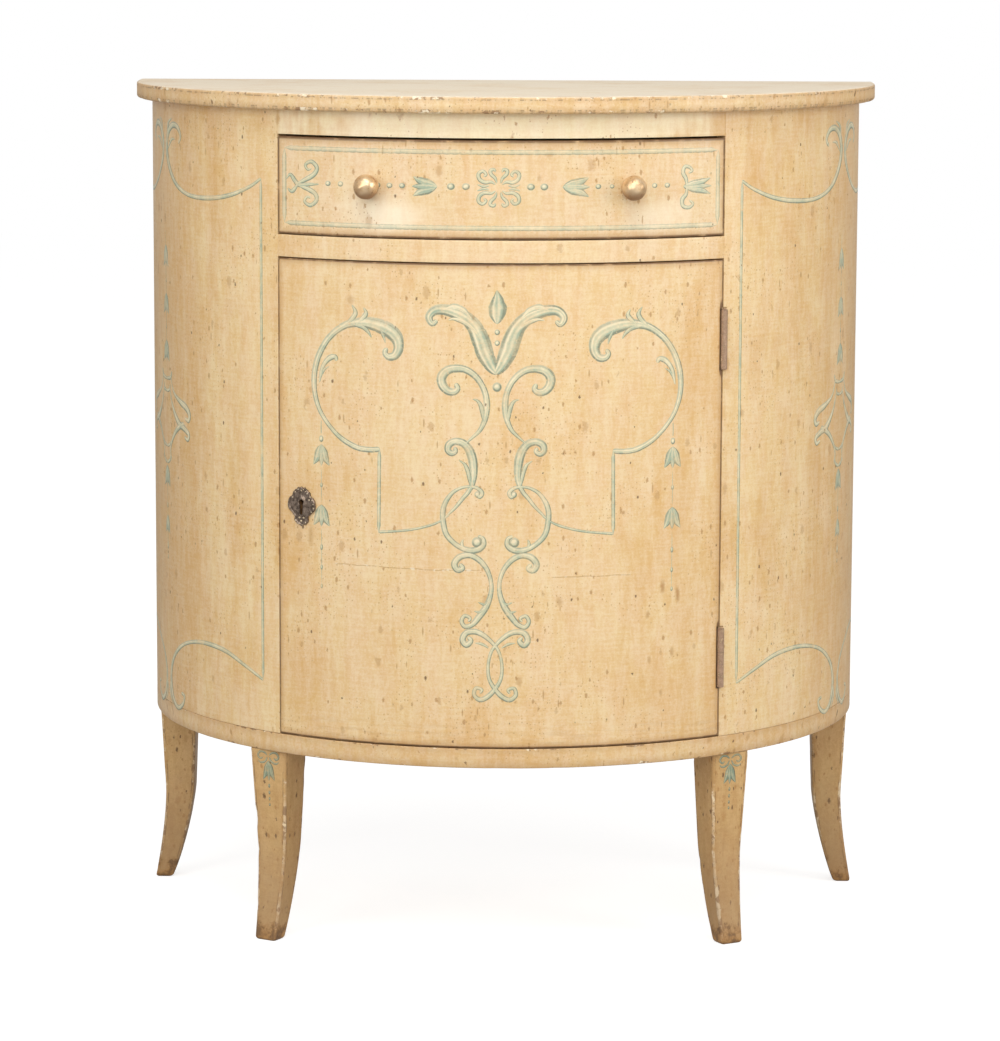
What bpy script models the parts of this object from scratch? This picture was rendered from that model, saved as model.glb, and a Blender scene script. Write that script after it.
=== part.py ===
"""Demilune cabinet: a half-round cupboard on four sabre legs, with one bowed drawer over one bowed door.

Units are metres and +Z is up. The cabinet faces -Y, its flat back faces +Y, and the origin is on the
floor, at the middle of the box round the whole piece. Angles in the plan turn about the middle of the
half round and are zero at the front and positive towards +X.
"""

import math

import bmesh
import bpy
from mathutils import Matrix, Vector

# Clearances
SEAT_GAP = 0.0003
RUNNING_GAP = 0.0010
SIDE_GAP = 0.0009
DRAWER_TOP_GAP = 0.0022
DRAWER_BOTTOM_GAP = 0.0010
DOOR_TOP_GAP = 0.0012
DOOR_BOTTOM_GAP = 0.0010
OVERRUN = 0.0040

# Plan of the body
BODY_RADIUS = 0.370
BACK_RUN = 0.022
TOP_OVERHANG = 0.016
OPENING_HALF_WIDTH = 0.2198

# Heights, from the floor up
LEG_LENGTH = 0.1955
BASE_THICKNESS = 0.0195
DOOR_OPENING_HEIGHT = 0.4790
MID_RAIL_HEIGHT = 0.0218
DRAWER_OPENING_HEIGHT = 0.0985
TOP_RAIL_HEIGHT = 0.0242
TOP_THICKNESS = 0.0165
TOP_NOSING = 0.0040

# Case
SKIN_THICKNESS = 0.014
POST_DEPTH = 0.024
FRONT_POST_WIDTH = 0.034
REAR_POST_WIDTH = 0.030
BACK_THICKNESS = 0.010
BACK_BOARD_COUNT = 3
BACK_BOARD_CHAMFER = 0.0015
DUST_BOARD_THICKNESS = 0.012
BEARER_DEPTH = 0.018
BEARER_HEIGHT = 0.016
SHELF_THICKNESS = 0.014
SHELF_SETBACK = 0.022
SHELF_HEIGHT_SHARE = 0.47
GUIDE_WIDTH = 0.014
GUIDE_HEIGHT = 0.018
KICKER_WIDTH = 0.024
DRAWER_STOP_DEPTH = 0.012
DRAWER_STOP_WIDTH = 0.030
DRAWER_STOP_HEIGHT = 0.0060
DRAWER_STOP_PLACE_SHARE = 0.5
DOOR_STOP_DEPTH = 0.014
DOOR_STOP_WIDTH = 0.034
DOOR_STOP_HEIGHT = 0.012
DOOR_STOP_PLACE_SHARE = 0.62

# Legs
LEG_TOP_WIDTH = 0.0430
LEG_TOP_DEPTH = 0.0380
FOOT_WIDTH = 0.0242
FOOT_DEPTH = 0.0177
LEG_SETBACK = 0.0035
LEG_LEAN = 0.0095
LEG_KICK = 0.0170
LEG_EDGE_RADIUS = 0.0013
LEG_STATIONS = 12
KICK_HEIGHT_SHARE = 0.51
KICK_CURVE = 1.46
TAPER_CURVE = 0.70
FRONT_LEG_MARGIN = 0.0010
FRONT_LEG_TURN = 0.165
DOWEL_RADIUS = 0.0085
DOWEL_LENGTH = 0.0140

# Drawer
DRAWER_FRONT_THICKNESS = 0.020
DRAWER_SIDE_THICKNESS = 0.010
DRAWER_BACK_THICKNESS = 0.009
DRAWER_SIDE_PLAY = 0.0015
DRAWER_REAR_ROOM = 0.010
DRAWER_SIDE_DROP = 0.0030
DRAWER_BACK_DROP = 0.0090
BOTTOM_THICKNESS = 0.006
BOTTOM_RISE = 0.0080
GROOVE_DEPTH = 0.0042
TAIL_COUNT = 3
TAIL_LAP = 0.0060
TAIL_WIDTH_SHARE = 0.58
TAIL_FLARE_SHARE = 0.16
TAIL_ZONE_LOW = 0.0205
TAIL_ZONE_TOP = 0.0060

# Knobs
KNOB_HALF_SPACING = 0.1257
KNOB_RISE = 0.0015
KNOB_RADIUS = 0.0122
KNOB_HEIGHT = 0.0240
SPINDLE_RADIUS = 0.0025
NUT_SIZE = 0.011
NUT_THICKNESS = 0.0045
SPINDLE_TAIL = 0.0020
KNOB_PROFILE_SHARES = (
    (0.00, 1.00), (0.30, 0.985), (0.58, 0.93), (0.82, 0.82), (0.96, 0.67), (1.00, 0.52),
    (0.94, 0.38), (0.76, 0.28), (0.52, 0.22), (0.40, 0.17), (0.38, 0.12), (0.46, 0.09),
    (0.64, 0.07), (0.70, 0.04), (0.70, 0.00),
)

# Door and hinges
DOOR_THICKNESS = 0.020
HINGE_LENGTH = 0.059
HINGE_FROM_END = 0.0495
KNUCKLE_COUNT = 5
KNUCKLE_RADIUS = 0.0034
KNUCKLE_GAP = 0.0003
BARREL_PROUD = 0.0014
PIN_RADIUS = 0.0016
PIN_TIP_RADIUS = 0.0030
PIN_TIP_HEIGHT = 0.0016
LEAF_WIDTH = 0.022
LEAF_THICKNESS = 0.0018
LEAF_SPLIT = 0.0006
LEAF_HOLE_RADIUS = 0.0021
LEAF_HOLE_PLACE_SHARE = 0.62
LEAF_HOLE_SPREAD_SHARES = (-0.36, 0.0, 0.36)

# Lock, worked from the middle of the keyhole
KEYHOLE_FROM_EDGE = 0.0295
KEYHOLE_HEIGHT_SHARE = 0.494
KEYHOLE_RADIUS = 0.0027
KEYHOLE_SLOT_WIDTH = 0.0036
KEYHOLE_SLOT_DROP = 0.0118
LOCK_INNER_DEPTH = 0.0285
LOCK_THICKNESS = 0.0120
LOCK_RIGHT = 0.0200
LOCK_ABOVE = 0.0260
LOCK_BELOW = 0.0200
LOCK_END_SETBACK = 0.0010
LOCK_WALL = 0.0030
KEY_CHAMBER_RADIUS = 0.0135
BOLT_THICKNESS = 0.0050
BOLT_HEIGHT = 0.0140
BOLT_RISE = 0.0035
BOLT_TAIL = 0.0100
BOLT_TRAVEL = 0.0070
TALON_RADIUS = 0.0055
STRIKE_THICKNESS = 0.0014
STRIKE_WIDTH = 0.0190
STRIKE_MARGIN = 0.0090
STRIKE_PLAY = 0.0012
MORTISE_SPARE = 0.0025

# Escutcheon, centred a little below the keyhole
ESCUTCHEON_HALF_WIDTH = 0.0150
ESCUTCHEON_HALF_HEIGHT = 0.0200
ESCUTCHEON_THICKNESS = 0.0018
ESCUTCHEON_DROP = 0.0040
ESCUTCHEON_EDGE = 0.0006
ESCUTCHEON_OUTLINE_SHARES = (
    (0.00, 1.00), (0.24, 0.96), (0.40, 0.84), (0.58, 0.74), (0.64, 0.55), (0.82, 0.46), (0.97, 0.26),
    (1.00, 0.04), (0.88, -0.18), (0.66, -0.36), (0.46, -0.54), (0.50, -0.72), (0.36, -0.86),
    (0.16, -0.92), (0.00, -1.00),
)
ESCUTCHEON_CURVE_STEPS = 3

# Facets
ARC_STEP = math.radians(2.5)
ROUND_STEPS = 24
FINE_STEPS = 16
HOLE_STEPS = 12
SHARP_ANGLE = math.radians(32)

# Finishes: colour, roughness, metallic
FINISHES = {
    "paint": ((0.76, 0.62, 0.42), 0.45, 0.0),
    "pine": ((0.55, 0.38, 0.21), 0.65, 0.0),
    "gilt": ((0.62, 0.44, 0.20), 0.35, 1.0),
    "bronze": ((0.20, 0.17, 0.14), 0.45, 1.0),
    "iron": ((0.30, 0.20, 0.16), 0.60, 0.8),
    "brass": ((0.70, 0.52, 0.25), 0.35, 1.0),
}

# Places that follow from the sizes above
FULL = math.pi
QUARTER = math.pi / 2
TOP_RADIUS = BODY_RADIUS + TOP_OVERHANG
CENTRE_Y = (TOP_RADIUS - BACK_RUN) / 2
BACK_Y = CENTRE_Y + BACK_RUN
BACK_FACE_Y = BACK_Y - BACK_THICKNESS
BASE_TOP = LEG_LENGTH + BASE_THICKNESS
DOOR_OPENING_TOP = BASE_TOP + DOOR_OPENING_HEIGHT
DRAWER_OPENING_BOTTOM = DOOR_OPENING_TOP + MID_RAIL_HEIGHT
DRAWER_OPENING_TOP = DRAWER_OPENING_BOTTOM + DRAWER_OPENING_HEIGHT
TOP_UNDERSIDE = DRAWER_OPENING_TOP + TOP_RAIL_HEIGHT
OVERALL_HEIGHT = TOP_UNDERSIDE + TOP_THICKNESS
SKIN_INNER = BODY_RADIUS - SKIN_THICKNESS
POST_OUTER = SKIN_INNER - SEAT_GAP
POST_INNER = POST_OUTER - POST_DEPTH
OPENING_ANGLE = math.asin(OPENING_HALF_WIDTH / BODY_RADIUS)
EDGE_ANGLE = OPENING_ANGLE + SIDE_GAP / 2 / BODY_RADIUS
LEAF_ANGLE = OPENING_ANGLE - SIDE_GAP / 2 / BODY_RADIUS
POST_ANGLE = EDGE_ANGLE + FRONT_POST_WIDTH / POST_OUTER
REAR_POST_ANGLE = QUARTER - (REAR_POST_WIDTH - (BACK_FACE_Y - CENTRE_Y)) / POST_OUTER
SHELF_TOP = BASE_TOP + DOOR_OPENING_HEIGHT * SHELF_HEIGHT_SHARE
DRAWER_FRONT_INNER = BODY_RADIUS - DRAWER_FRONT_THICKNESS
DRAWER_HALF_WIDTH = POST_INNER * math.sin(EDGE_ANGLE) - DRAWER_SIDE_PLAY
DRAWER_SIDE_INNER_X = DRAWER_HALF_WIDTH - DRAWER_SIDE_THICKNESS
DRAWER_LOW = DRAWER_OPENING_BOTTOM + SEAT_GAP
DRAWER_SIDE_TOP = DRAWER_OPENING_TOP - DRAWER_SIDE_DROP
DRAWER_REAR_Y = BACK_FACE_Y - DRAWER_REAR_ROOM
DRAWER_BACK_FACE_Y = DRAWER_REAR_Y - DRAWER_BACK_THICKNESS
BOTTOM_LOW = DRAWER_LOW + BOTTOM_RISE
BOTTOM_TOP = BOTTOM_LOW + BOTTOM_THICKNESS
DOOR_BOTTOM = BASE_TOP + DOOR_BOTTOM_GAP
DOOR_TOP = DOOR_OPENING_TOP - DOOR_TOP_GAP
DOOR_INNER = BODY_RADIUS - DOOR_THICKNESS
HINGE_AXIS_RADIUS = BODY_RADIUS + BARREL_PROUD
UPPER_HINGE_TOP = DOOR_TOP - HINGE_FROM_END
LOWER_HINGE_TOP = DOOR_BOTTOM + HINGE_FROM_END + HINGE_LENGTH
KEYHOLE_ANGLE = KEYHOLE_FROM_EDGE / BODY_RADIUS - OPENING_ANGLE
KEYHOLE_Z = DOOR_BOTTOM + (DOOR_TOP - DOOR_BOTTOM) * KEYHOLE_HEIGHT_SHARE
LOCK_OUTER_DEPTH = LOCK_INNER_DEPTH - LOCK_THICKNESS
BOLT_DEPTH = LOCK_OUTER_DEPTH + LOCK_WALL + SEAT_GAP + BOLT_THICKNESS / 2
LOCK_REACH = OPENING_ANGLE + KEYHOLE_ANGLE
LOCK_LEFT = (BODY_RADIUS - LOCK_INNER_DEPTH) * math.sin(LOCK_REACH) - LOCK_END_SETBACK

# How an outline drawn flat is stood up
UPRIGHT_ALONG_Y = Matrix(((0, 0, 1, 0), (1, 0, 0, 0), (0, 1, 0, 0), (0, 0, 0, 1)))
UPRIGHT_ALONG_X = Matrix.Rotation(QUARTER, 4, "X")


def clear_scene():
    """Empties the scene and makes the two collections that the pieces and the cutters go in."""
    for thing in list(bpy.data.objects):
        bpy.data.objects.remove(thing, do_unlink=True)
    for name in ("demilune_cabinet", "cutters"):
        bpy.context.scene.collection.children.link(bpy.data.collections.new(name))


def add_object(name, data, place, finish=None):
    """Links a new object, as a piece where it has a finish and as a cutter where it has none."""
    thing = bpy.data.objects.new(name, data)
    thing.matrix_world = place
    if finish is None:
        bpy.data.collections["cutters"].objects.link(thing)
        thing.hide_render = True
        thing.display_type = "WIRE"
    else:
        bpy.data.collections["demilune_cabinet"].objects.link(thing)
        data.materials.append(material_for(name, finish))
    return thing


def material_for(name, finish):
    """A material of the piece's own, in one of the cabinet's finishes."""
    colour, roughness, metallic = FINISHES[finish]
    material = bpy.data.materials.new(f"{name}_{finish}")
    material.use_nodes = True
    shader = material.node_tree.nodes["Principled BSDF"]
    shader.inputs["Base Color"].default_value = (*colour, 1)
    shader.inputs["Roughness"].default_value = roughness
    shader.inputs["Metallic"].default_value = metallic
    material.diffuse_color = (*colour, 1)
    return material


def smooth(thing):
    """Shades a piece smooth, but keeps its real edges sharp."""
    thing.data.shade_smooth()
    thing.data.set_sharp_from_angle(angle=SHARP_ANGLE)
    return thing


def soften(thing, width, segments=2):
    """Rounds the sharp edges of a piece."""
    bevel = thing.modifiers.new("softened_edges", "BEVEL")
    bevel.width = width
    bevel.segments = segments
    bevel.limit_method = "ANGLE"
    bevel.angle_limit = SHARP_ANGLE
    return thing


def combine(piece, operation, tools):
    """Adds one Boolean for each cutter or joined shape."""
    for tool in tools:
        modifier = piece.modifiers.new(tool.name, "BOOLEAN")
        modifier.operation = operation
        modifier.solver = "EXACT"
        modifier.object = tool
    return piece


def cut(piece, *tools):
    """Takes the cutters' shapes out of a piece."""
    return combine(piece, "DIFFERENCE", tools)


def join(piece, *tools):
    """Makes shapes one with a piece."""
    return combine(piece, "UNION", tools)


def carry(name, spot, pieces):
    """An empty on the joint's axis that carries the pieces which move together."""
    holder = bpy.data.objects.new(name, None)
    holder.location = spot
    bpy.data.collections["demilune_cabinet"].objects.link(holder)
    bpy.context.view_layer.update()
    for piece in pieces:
        piece.parent = holder
        piece.matrix_parent_inverse = holder.matrix_world.inverted()


def at_rim(angle, height=0.0):
    """The place on the body's round face at this angle, with +Y pointing into the cabinet."""
    x, y = spot_at(BODY_RADIUS, angle)
    return Matrix.Translation((x, y, height)) @ Matrix.Rotation(angle, 4, "Z")


def spot_at(radius, angle):
    """A point of the plan."""
    return (radius * math.sin(angle), CENTRE_Y - radius * math.cos(angle))


def front_y(radius, x):
    """Where a round face of this radius stands at this distance from the middle."""
    return CENTRE_Y - math.sqrt(radius**2 - x**2)


def arc(radius, start, end):
    """Points of the plan along a round face."""
    steps = max(1, math.ceil(round(abs(end - start) / ARC_STEP, 6)))
    return [spot_at(radius, start + (end - start) * i / steps) for i in range(steps + 1)]


def mirrored(outline):
    """The same outline on the other side of the cabinet."""
    return [(-x, y) for x, y in reversed(outline)]


def prism(name, outline, thickness, place, finish=None, steps=0):
    """A flat outline given a thickness, halved about its plane. With steps, the outline is a smooth curve."""
    curve = bpy.data.curves.new(name, "CURVE")
    curve.dimensions = "2D"
    curve.fill_mode = "BOTH"
    curve.extrude = thickness / 2
    if steps:
        spline = curve.splines.new("BEZIER")
        spline.bezier_points.add(len(outline) - 1)
        for spot, (x, y) in zip(spline.bezier_points, outline):
            spot.co = (x, y, 0)
            spot.handle_left_type = spot.handle_right_type = "AUTO"
        spline.resolution_u = steps
        curve.resolution_u = steps
    else:
        spline = curve.splines.new("POLY")
        spline.points.add(len(outline) - 1)
        for spot, (x, y) in zip(spline.points, outline):
            spot.co = (x, y, 0, 1)
    spline.use_cyclic_u = True
    guide = bpy.data.objects.new(f"{name}_outline", curve)
    bpy.context.scene.collection.objects.link(guide)
    mesh = bpy.data.meshes.new_from_object(guide.evaluated_get(bpy.context.evaluated_depsgraph_get()))
    bpy.data.objects.remove(guide, do_unlink=True)
    shape = bmesh.new()
    shape.from_mesh(mesh)
    bmesh.ops.remove_doubles(shape, verts=shape.verts, dist=SEAT_GAP / 100)
    bmesh.ops.recalc_face_normals(shape, faces=shape.faces)
    shape.to_mesh(mesh)
    shape.free()
    mesh.name = name
    return smooth(add_object(name, mesh, place, finish))


def board(name, outline, bottom, top, finish=None):
    """A level board of any outline."""
    place = Matrix.Translation((0, 0, (bottom + top) / 2))
    return prism(name, outline, top - bottom, place, finish)


def bent_outline(inner, outer, start, end):
    """A strip of the body's curve, between two radii and two angles."""
    return arc(outer, start, end) + arc(inner, end, start)


def rib(name, inner, outer, start, end, bottom, top, finish=None):
    """A board bent to the body's curve, between two heights."""
    return board(name, bent_outline(inner, outer, start, end), bottom, top, finish)


def block(name, low, high, finish=None, place=None):
    """A straight block between two corners."""
    low, high = Vector(low), Vector(high)
    size = high - low
    shape = bmesh.new()
    bmesh.ops.create_cube(shape, size=1)
    bmesh.ops.scale(shape, vec=size, verts=shape.verts)
    bmesh.ops.translate(shape, vec=(low + high) / 2, verts=shape.verts)
    mesh = bpy.data.meshes.new(name)
    shape.to_mesh(mesh)
    shape.free()
    return add_object(name, mesh, place or Matrix(), finish)


def rod(name, radius, low, high, finish=None, place=None, steps=FINE_STEPS):
    """A round rod that stands along Z between two heights."""
    shape = bmesh.new()
    bmesh.ops.create_cone(
        shape, cap_ends=True, segments=steps, radius1=radius, radius2=radius, depth=high - low
    )
    bmesh.ops.translate(shape, vec=(0, 0, (low + high) / 2), verts=shape.verts)
    mesh = bpy.data.meshes.new(name)
    shape.to_mesh(mesh)
    shape.free()
    return smooth(add_object(name, mesh, place or Matrix(), finish))


def turned(name, profile, finish, place, steps=ROUND_STEPS):
    """A turned piece. The profile runs from the top down the outer side to the bottom."""
    mesh = bpy.data.meshes.new(name)
    mesh.from_pydata([(r, 0, z) for r, z in profile], [(i, i + 1) for i in range(len(profile) - 1)], [])
    thing = add_object(name, mesh, place, finish)
    screw = thing.modifiers.new("turned", "SCREW")
    screw.steps = screw.render_steps = steps
    screw.use_merge_vertices = True
    screw.merge_threshold = SEAT_GAP / 100
    screw.use_smooth_shade = True
    return thing


def case_outline(inner, outer, start, back):
    """A curved wall that starts at an angle, runs round the right side and straight on to the back."""
    return arc(outer, start, QUARTER) + [(outer, back), (inner, back)] + arc(inner, QUARTER, start)


def half_round(radius, back):
    """A half-round board that reaches the back."""
    return arc(radius, -QUARTER, QUARTER) + [(radius, back), (-radius, back)]


def inner_board_outline(front_radius):
    """A board inside the case, cut round the four posts."""
    side, post = POST_OUTER, POST_INNER - SEAT_GAP
    front_cut = POST_ANGLE + SEAT_GAP / POST_INNER
    rear_cut = REAR_POST_ANGLE - SEAT_GAP / POST_INNER
    right = arc(front_radius, 0, front_cut) + arc(side, front_cut, rear_cut) + arc(post, rear_cut, QUARTER)
    right.append((post, BACK_FACE_Y - SEAT_GAP))
    return mirrored(right)[:-1] + right


def build_top_and_base():
    """The half-round top with its soft nosing, and the base board with sockets for the legs' dowels."""
    top = board("top", half_round(TOP_RADIUS, BACK_Y), TOP_UNDERSIDE, OVERALL_HEIGHT, "paint")
    soften(top, TOP_NOSING, 3)
    base = board("base_board", half_round(BODY_RADIUS, BACK_Y), LEG_LENGTH, BASE_TOP, "paint")
    for name, angle in leg_angles():
        socket = rod(
            f"{name}_socket", DOWEL_RADIUS + SEAT_GAP, -OVERRUN, DOWEL_LENGTH + SEAT_GAP,
            place=at_rim(angle, LEG_LENGTH) @ Matrix.Translation((0, leg_middle(), 0)),
        )
        cut(base, socket)


def build_rails():
    """The curved rails over the drawer and between drawer and door."""
    low, high = POST_INNER, BODY_RADIUS
    for name, bottom, top in (
        ("top_rail", DRAWER_OPENING_TOP, TOP_UNDERSIDE - SEAT_GAP),
        ("middle_rail", DOOR_OPENING_TOP, DRAWER_OPENING_BOTTOM),
    ):
        rib(name, low, high, -LEAF_ANGLE, LEAF_ANGLE, bottom, top, "paint")


def build_case_sides():
    """The curved side panels and the posts that stand behind them, on both sides."""
    bottom, top = BASE_TOP + SEAT_GAP, TOP_UNDERSIDE - SEAT_GAP
    walls = (
        ("side_panel", case_outline(SKIN_INNER, BODY_RADIUS, EDGE_ANGLE, BACK_Y), "paint"),
        ("front_post", bent_outline(POST_INNER, POST_OUTER, EDGE_ANGLE, POST_ANGLE), "pine"),
        ("rear_post", case_outline(POST_INNER, POST_OUTER, REAR_POST_ANGLE, BACK_FACE_Y - SEAT_GAP), "pine"),
    )
    for name, outline, finish in walls:
        board(f"right_{name}", outline, bottom, top, finish)
        board(f"left_{name}", mirrored(outline), bottom, top, finish)


def build_back():
    """The back of upright boards, between the side panels."""
    half = SKIN_INNER - SEAT_GAP
    pitch = 2 * half / BACK_BOARD_COUNT
    for number in range(BACK_BOARD_COUNT):
        left = -half + number * pitch
        plank = block(
            f"back_board_{number + 1}",
            (left + SEAT_GAP / 2, BACK_FACE_Y, BASE_TOP + SEAT_GAP),
            (left + pitch - SEAT_GAP / 2, BACK_Y, TOP_UNDERSIDE - SEAT_GAP),
            "pine",
        )
        soften(plank, BACK_BOARD_CHAMFER, 1)


def build_inner_boards():
    """The board that the drawer runs on and the shelf, each on its two curved bearers."""
    boards = (
        ("dust_board", POST_INNER - SEAT_GAP, DRAWER_OPENING_BOTTOM, DUST_BOARD_THICKNESS),
        ("shelf", DOOR_INNER - SHELF_SETBACK, SHELF_TOP, SHELF_THICKNESS),
    )
    start = POST_ANGLE + SEAT_GAP / POST_INNER
    end = REAR_POST_ANGLE - SEAT_GAP / POST_INNER
    for name, front, top, thickness in boards:
        bottom = top - thickness
        board(name, inner_board_outline(front), bottom, top, "pine")
        for side, sign in (("left", -1), ("right", 1)):
            rib(
                f"{side}_{name}_bearer", POST_OUTER - BEARER_DEPTH, POST_OUTER, sign * start, sign * end,
                bottom - SEAT_GAP - BEARER_HEIGHT, bottom - SEAT_GAP, "pine",
            )


def build_drawer_ways():
    """The guides beside the drawer, the kickers over its sides and the stops behind its front."""
    low = DRAWER_OPENING_BOTTOM + SEAT_GAP
    guide_x = DRAWER_HALF_WIDTH + DRAWER_SIDE_PLAY
    kicker_x = DRAWER_HALF_WIDTH - KICKER_WIDTH
    stop_angle = LEAF_ANGLE * DRAWER_STOP_PLACE_SHARE
    half_stop = DRAWER_STOP_WIDTH / 2 / DRAWER_FRONT_INNER
    stop_outer = DRAWER_FRONT_INNER - SEAT_GAP
    rear = BACK_FACE_Y - SEAT_GAP
    for side, sign in (("left", -1), ("right", 1)):
        guide_front = front_y(POST_INNER, guide_x) + SEAT_GAP
        guide = [
            (guide_x, guide_front), (guide_x + GUIDE_WIDTH, guide_front + GUIDE_WIDTH),
            (guide_x + GUIDE_WIDTH, rear), (guide_x, rear),
        ]
        kicker = [
            (kicker_x, front_y(POST_INNER, kicker_x) + SEAT_GAP),
            (DRAWER_HALF_WIDTH, front_y(POST_INNER, DRAWER_HALF_WIDTH) + SEAT_GAP),
            (DRAWER_HALF_WIDTH, rear), (kicker_x, rear),
        ]
        if sign < 0:
            guide, kicker = mirrored(guide), mirrored(kicker)
        board(f"{side}_drawer_guide", guide, low, low + GUIDE_HEIGHT, "pine")
        board(f"{side}_kicker", kicker, DRAWER_OPENING_TOP, TOP_UNDERSIDE - SEAT_GAP, "pine")
        rib(
            f"{side}_drawer_stop", stop_outer - DRAWER_STOP_DEPTH, stop_outer,
            sign * stop_angle - half_stop, sign * stop_angle + half_stop,
            low, low + DRAWER_STOP_HEIGHT, "pine",
        )


def build_door_stops():
    """The small blocks that the closed door's free side meets, on the base and under the middle rail."""
    angle = -LEAF_ANGLE * DOOR_STOP_PLACE_SHARE
    half = DOOR_STOP_WIDTH / 2 / DOOR_INNER
    outer = DOOR_INNER - SEAT_GAP
    for name, bottom in (
        ("lower_door_stop", BASE_TOP + SEAT_GAP),
        ("upper_door_stop", DOOR_OPENING_TOP - SEAT_GAP - DOOR_STOP_HEIGHT),
    ):
        rib(name, outer - DOOR_STOP_DEPTH, outer, angle - half, angle + half,
            bottom, bottom + DOOR_STOP_HEIGHT, "pine")


def leg_angles():
    """Each leg's name and its angle in the plan. The front legs stand beside the opening's edges."""
    front = EDGE_ANGLE + (LEG_TOP_WIDTH / 2 + FRONT_LEG_MARGIN) / BODY_RADIUS
    return (
        ("front_left_leg", -front), ("front_right_leg", front),
        ("rear_left_leg", -QUARTER), ("rear_right_leg", QUARTER),
    )


def leg_middle():
    """How far a leg's top is centred inside the body's face."""
    return LEG_SETBACK + LEG_TOP_DEPTH / 2


def leg_place(name, angle):
    """A leg's place on the floor. The front legs are turned about their dowels towards the front."""
    turn = -math.copysign(FRONT_LEG_TURN, angle) if name.startswith("front") else 0
    dowel = Matrix.Translation((0, leg_middle(), 0))
    return at_rim(angle) @ dowel @ Matrix.Rotation(turn, 4, "Z") @ dowel.inverted()


def leg_section(share):
    """Half width, outer face and inner face of a leg at this share of its height."""
    half = (FOOT_WIDTH + (LEG_TOP_WIDTH - FOOT_WIDTH) * share) / 2
    kick = max(0.0, 1 - share / KICK_HEIGHT_SHARE) ** KICK_CURVE
    outer = LEG_SETBACK + LEG_LEAN * (1 - share) - LEG_KICK * kick
    depth = FOOT_DEPTH + (LEG_TOP_DEPTH - FOOT_DEPTH) * share**TAPER_CURVE
    return half, outer, outer + depth


def build_legs():
    """The sabre legs, lofted through square sections, each with a dowel that enters the base board."""
    height = LEG_LENGTH - SEAT_GAP
    for name, angle in leg_angles():
        shape = bmesh.new()
        rings = []
        for station in range(LEG_STATIONS + 1):
            share = station / LEG_STATIONS
            half, outer, inner = leg_section(share)
            corners = ((-half, outer), (half, outer), (half, inner), (-half, inner))
            rings.append([shape.verts.new((x, y, share * height)) for x, y in corners])
        for lower, upper in zip(rings, rings[1:]):
            for i in range(4):
                shape.faces.new((lower[i - 1], lower[i], upper[i], upper[i - 1]))
        shape.faces.new(rings[0])
        shape.faces.new(rings[-1])
        bmesh.ops.recalc_face_normals(shape, faces=shape.faces)
        mesh = bpy.data.meshes.new(name)
        shape.to_mesh(mesh)
        shape.free()
        place = leg_place(name, angle)
        leg = soften(add_object(name, mesh, place, "paint"), LEG_EDGE_RADIUS)
        dowel_place = place @ Matrix.Translation((0, leg_middle(), height))
        join(leg, rod(f"{name}_dowel", DOWEL_RADIUS, -OVERRUN, DOWEL_LENGTH, place=dowel_place))


def tails(name, root, tip, bottom, top, thickness, x, clearance):
    """The dovetails at one end of a drawer side, in a row up the joint. They flare towards the tip."""
    pitch = (top - bottom) / TAIL_COUNT
    shapes = []
    reach = math.copysign(OVERRUN, tip - root)
    for number in range(TAIL_COUNT):
        middle = bottom + (number + 0.5) * pitch
        narrow = pitch * TAIL_WIDTH_SHARE / 2 + clearance
        wide = narrow + pitch * TAIL_FLARE_SHARE / 2
        far = tip + math.copysign(clearance, reach)
        outline = [
            (root - reach, middle - narrow), (root, middle - narrow), (far, middle - wide),
            (far, middle + wide), (root, middle + narrow), (root - reach, middle + narrow),
        ]
        place = Matrix.Translation((x, 0, 0)) @ UPRIGHT_ALONG_Y
        shapes.append(prism(f"{name}_{number + 1}", outline, thickness + 2 * clearance, place))
    return shapes


def build_drawer_front():
    """The bowed front, with a groove for the bottom, a hole for each knob and sockets for the dovetails."""
    front = rib(
        "drawer_front", DRAWER_FRONT_INNER, BODY_RADIUS, -LEAF_ANGLE, LEAF_ANGLE,
        DRAWER_OPENING_BOTTOM + DRAWER_BOTTOM_GAP, DRAWER_OPENING_TOP - DRAWER_TOP_GAP, "paint",
    )
    groove_outer = DRAWER_FRONT_INNER + GROOVE_DEPTH + SEAT_GAP
    groove_angle = math.asin((DRAWER_SIDE_INNER_X + GROOVE_DEPTH + SEAT_GAP) / DRAWER_FRONT_INNER)
    groove = rib(
        "drawer_front_groove", DRAWER_FRONT_INNER - OVERRUN, groove_outer, -groove_angle, groove_angle,
        BOTTOM_LOW - SEAT_GAP, BOTTOM_TOP + SEAT_GAP,
    )
    return cut(front, groove)


def tail_tip_y():
    """How far forward the dovetails reach, so that the front keeps its lap over them."""
    return front_y(BODY_RADIUS - TAIL_LAP, DRAWER_HALF_WIDTH)


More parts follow.
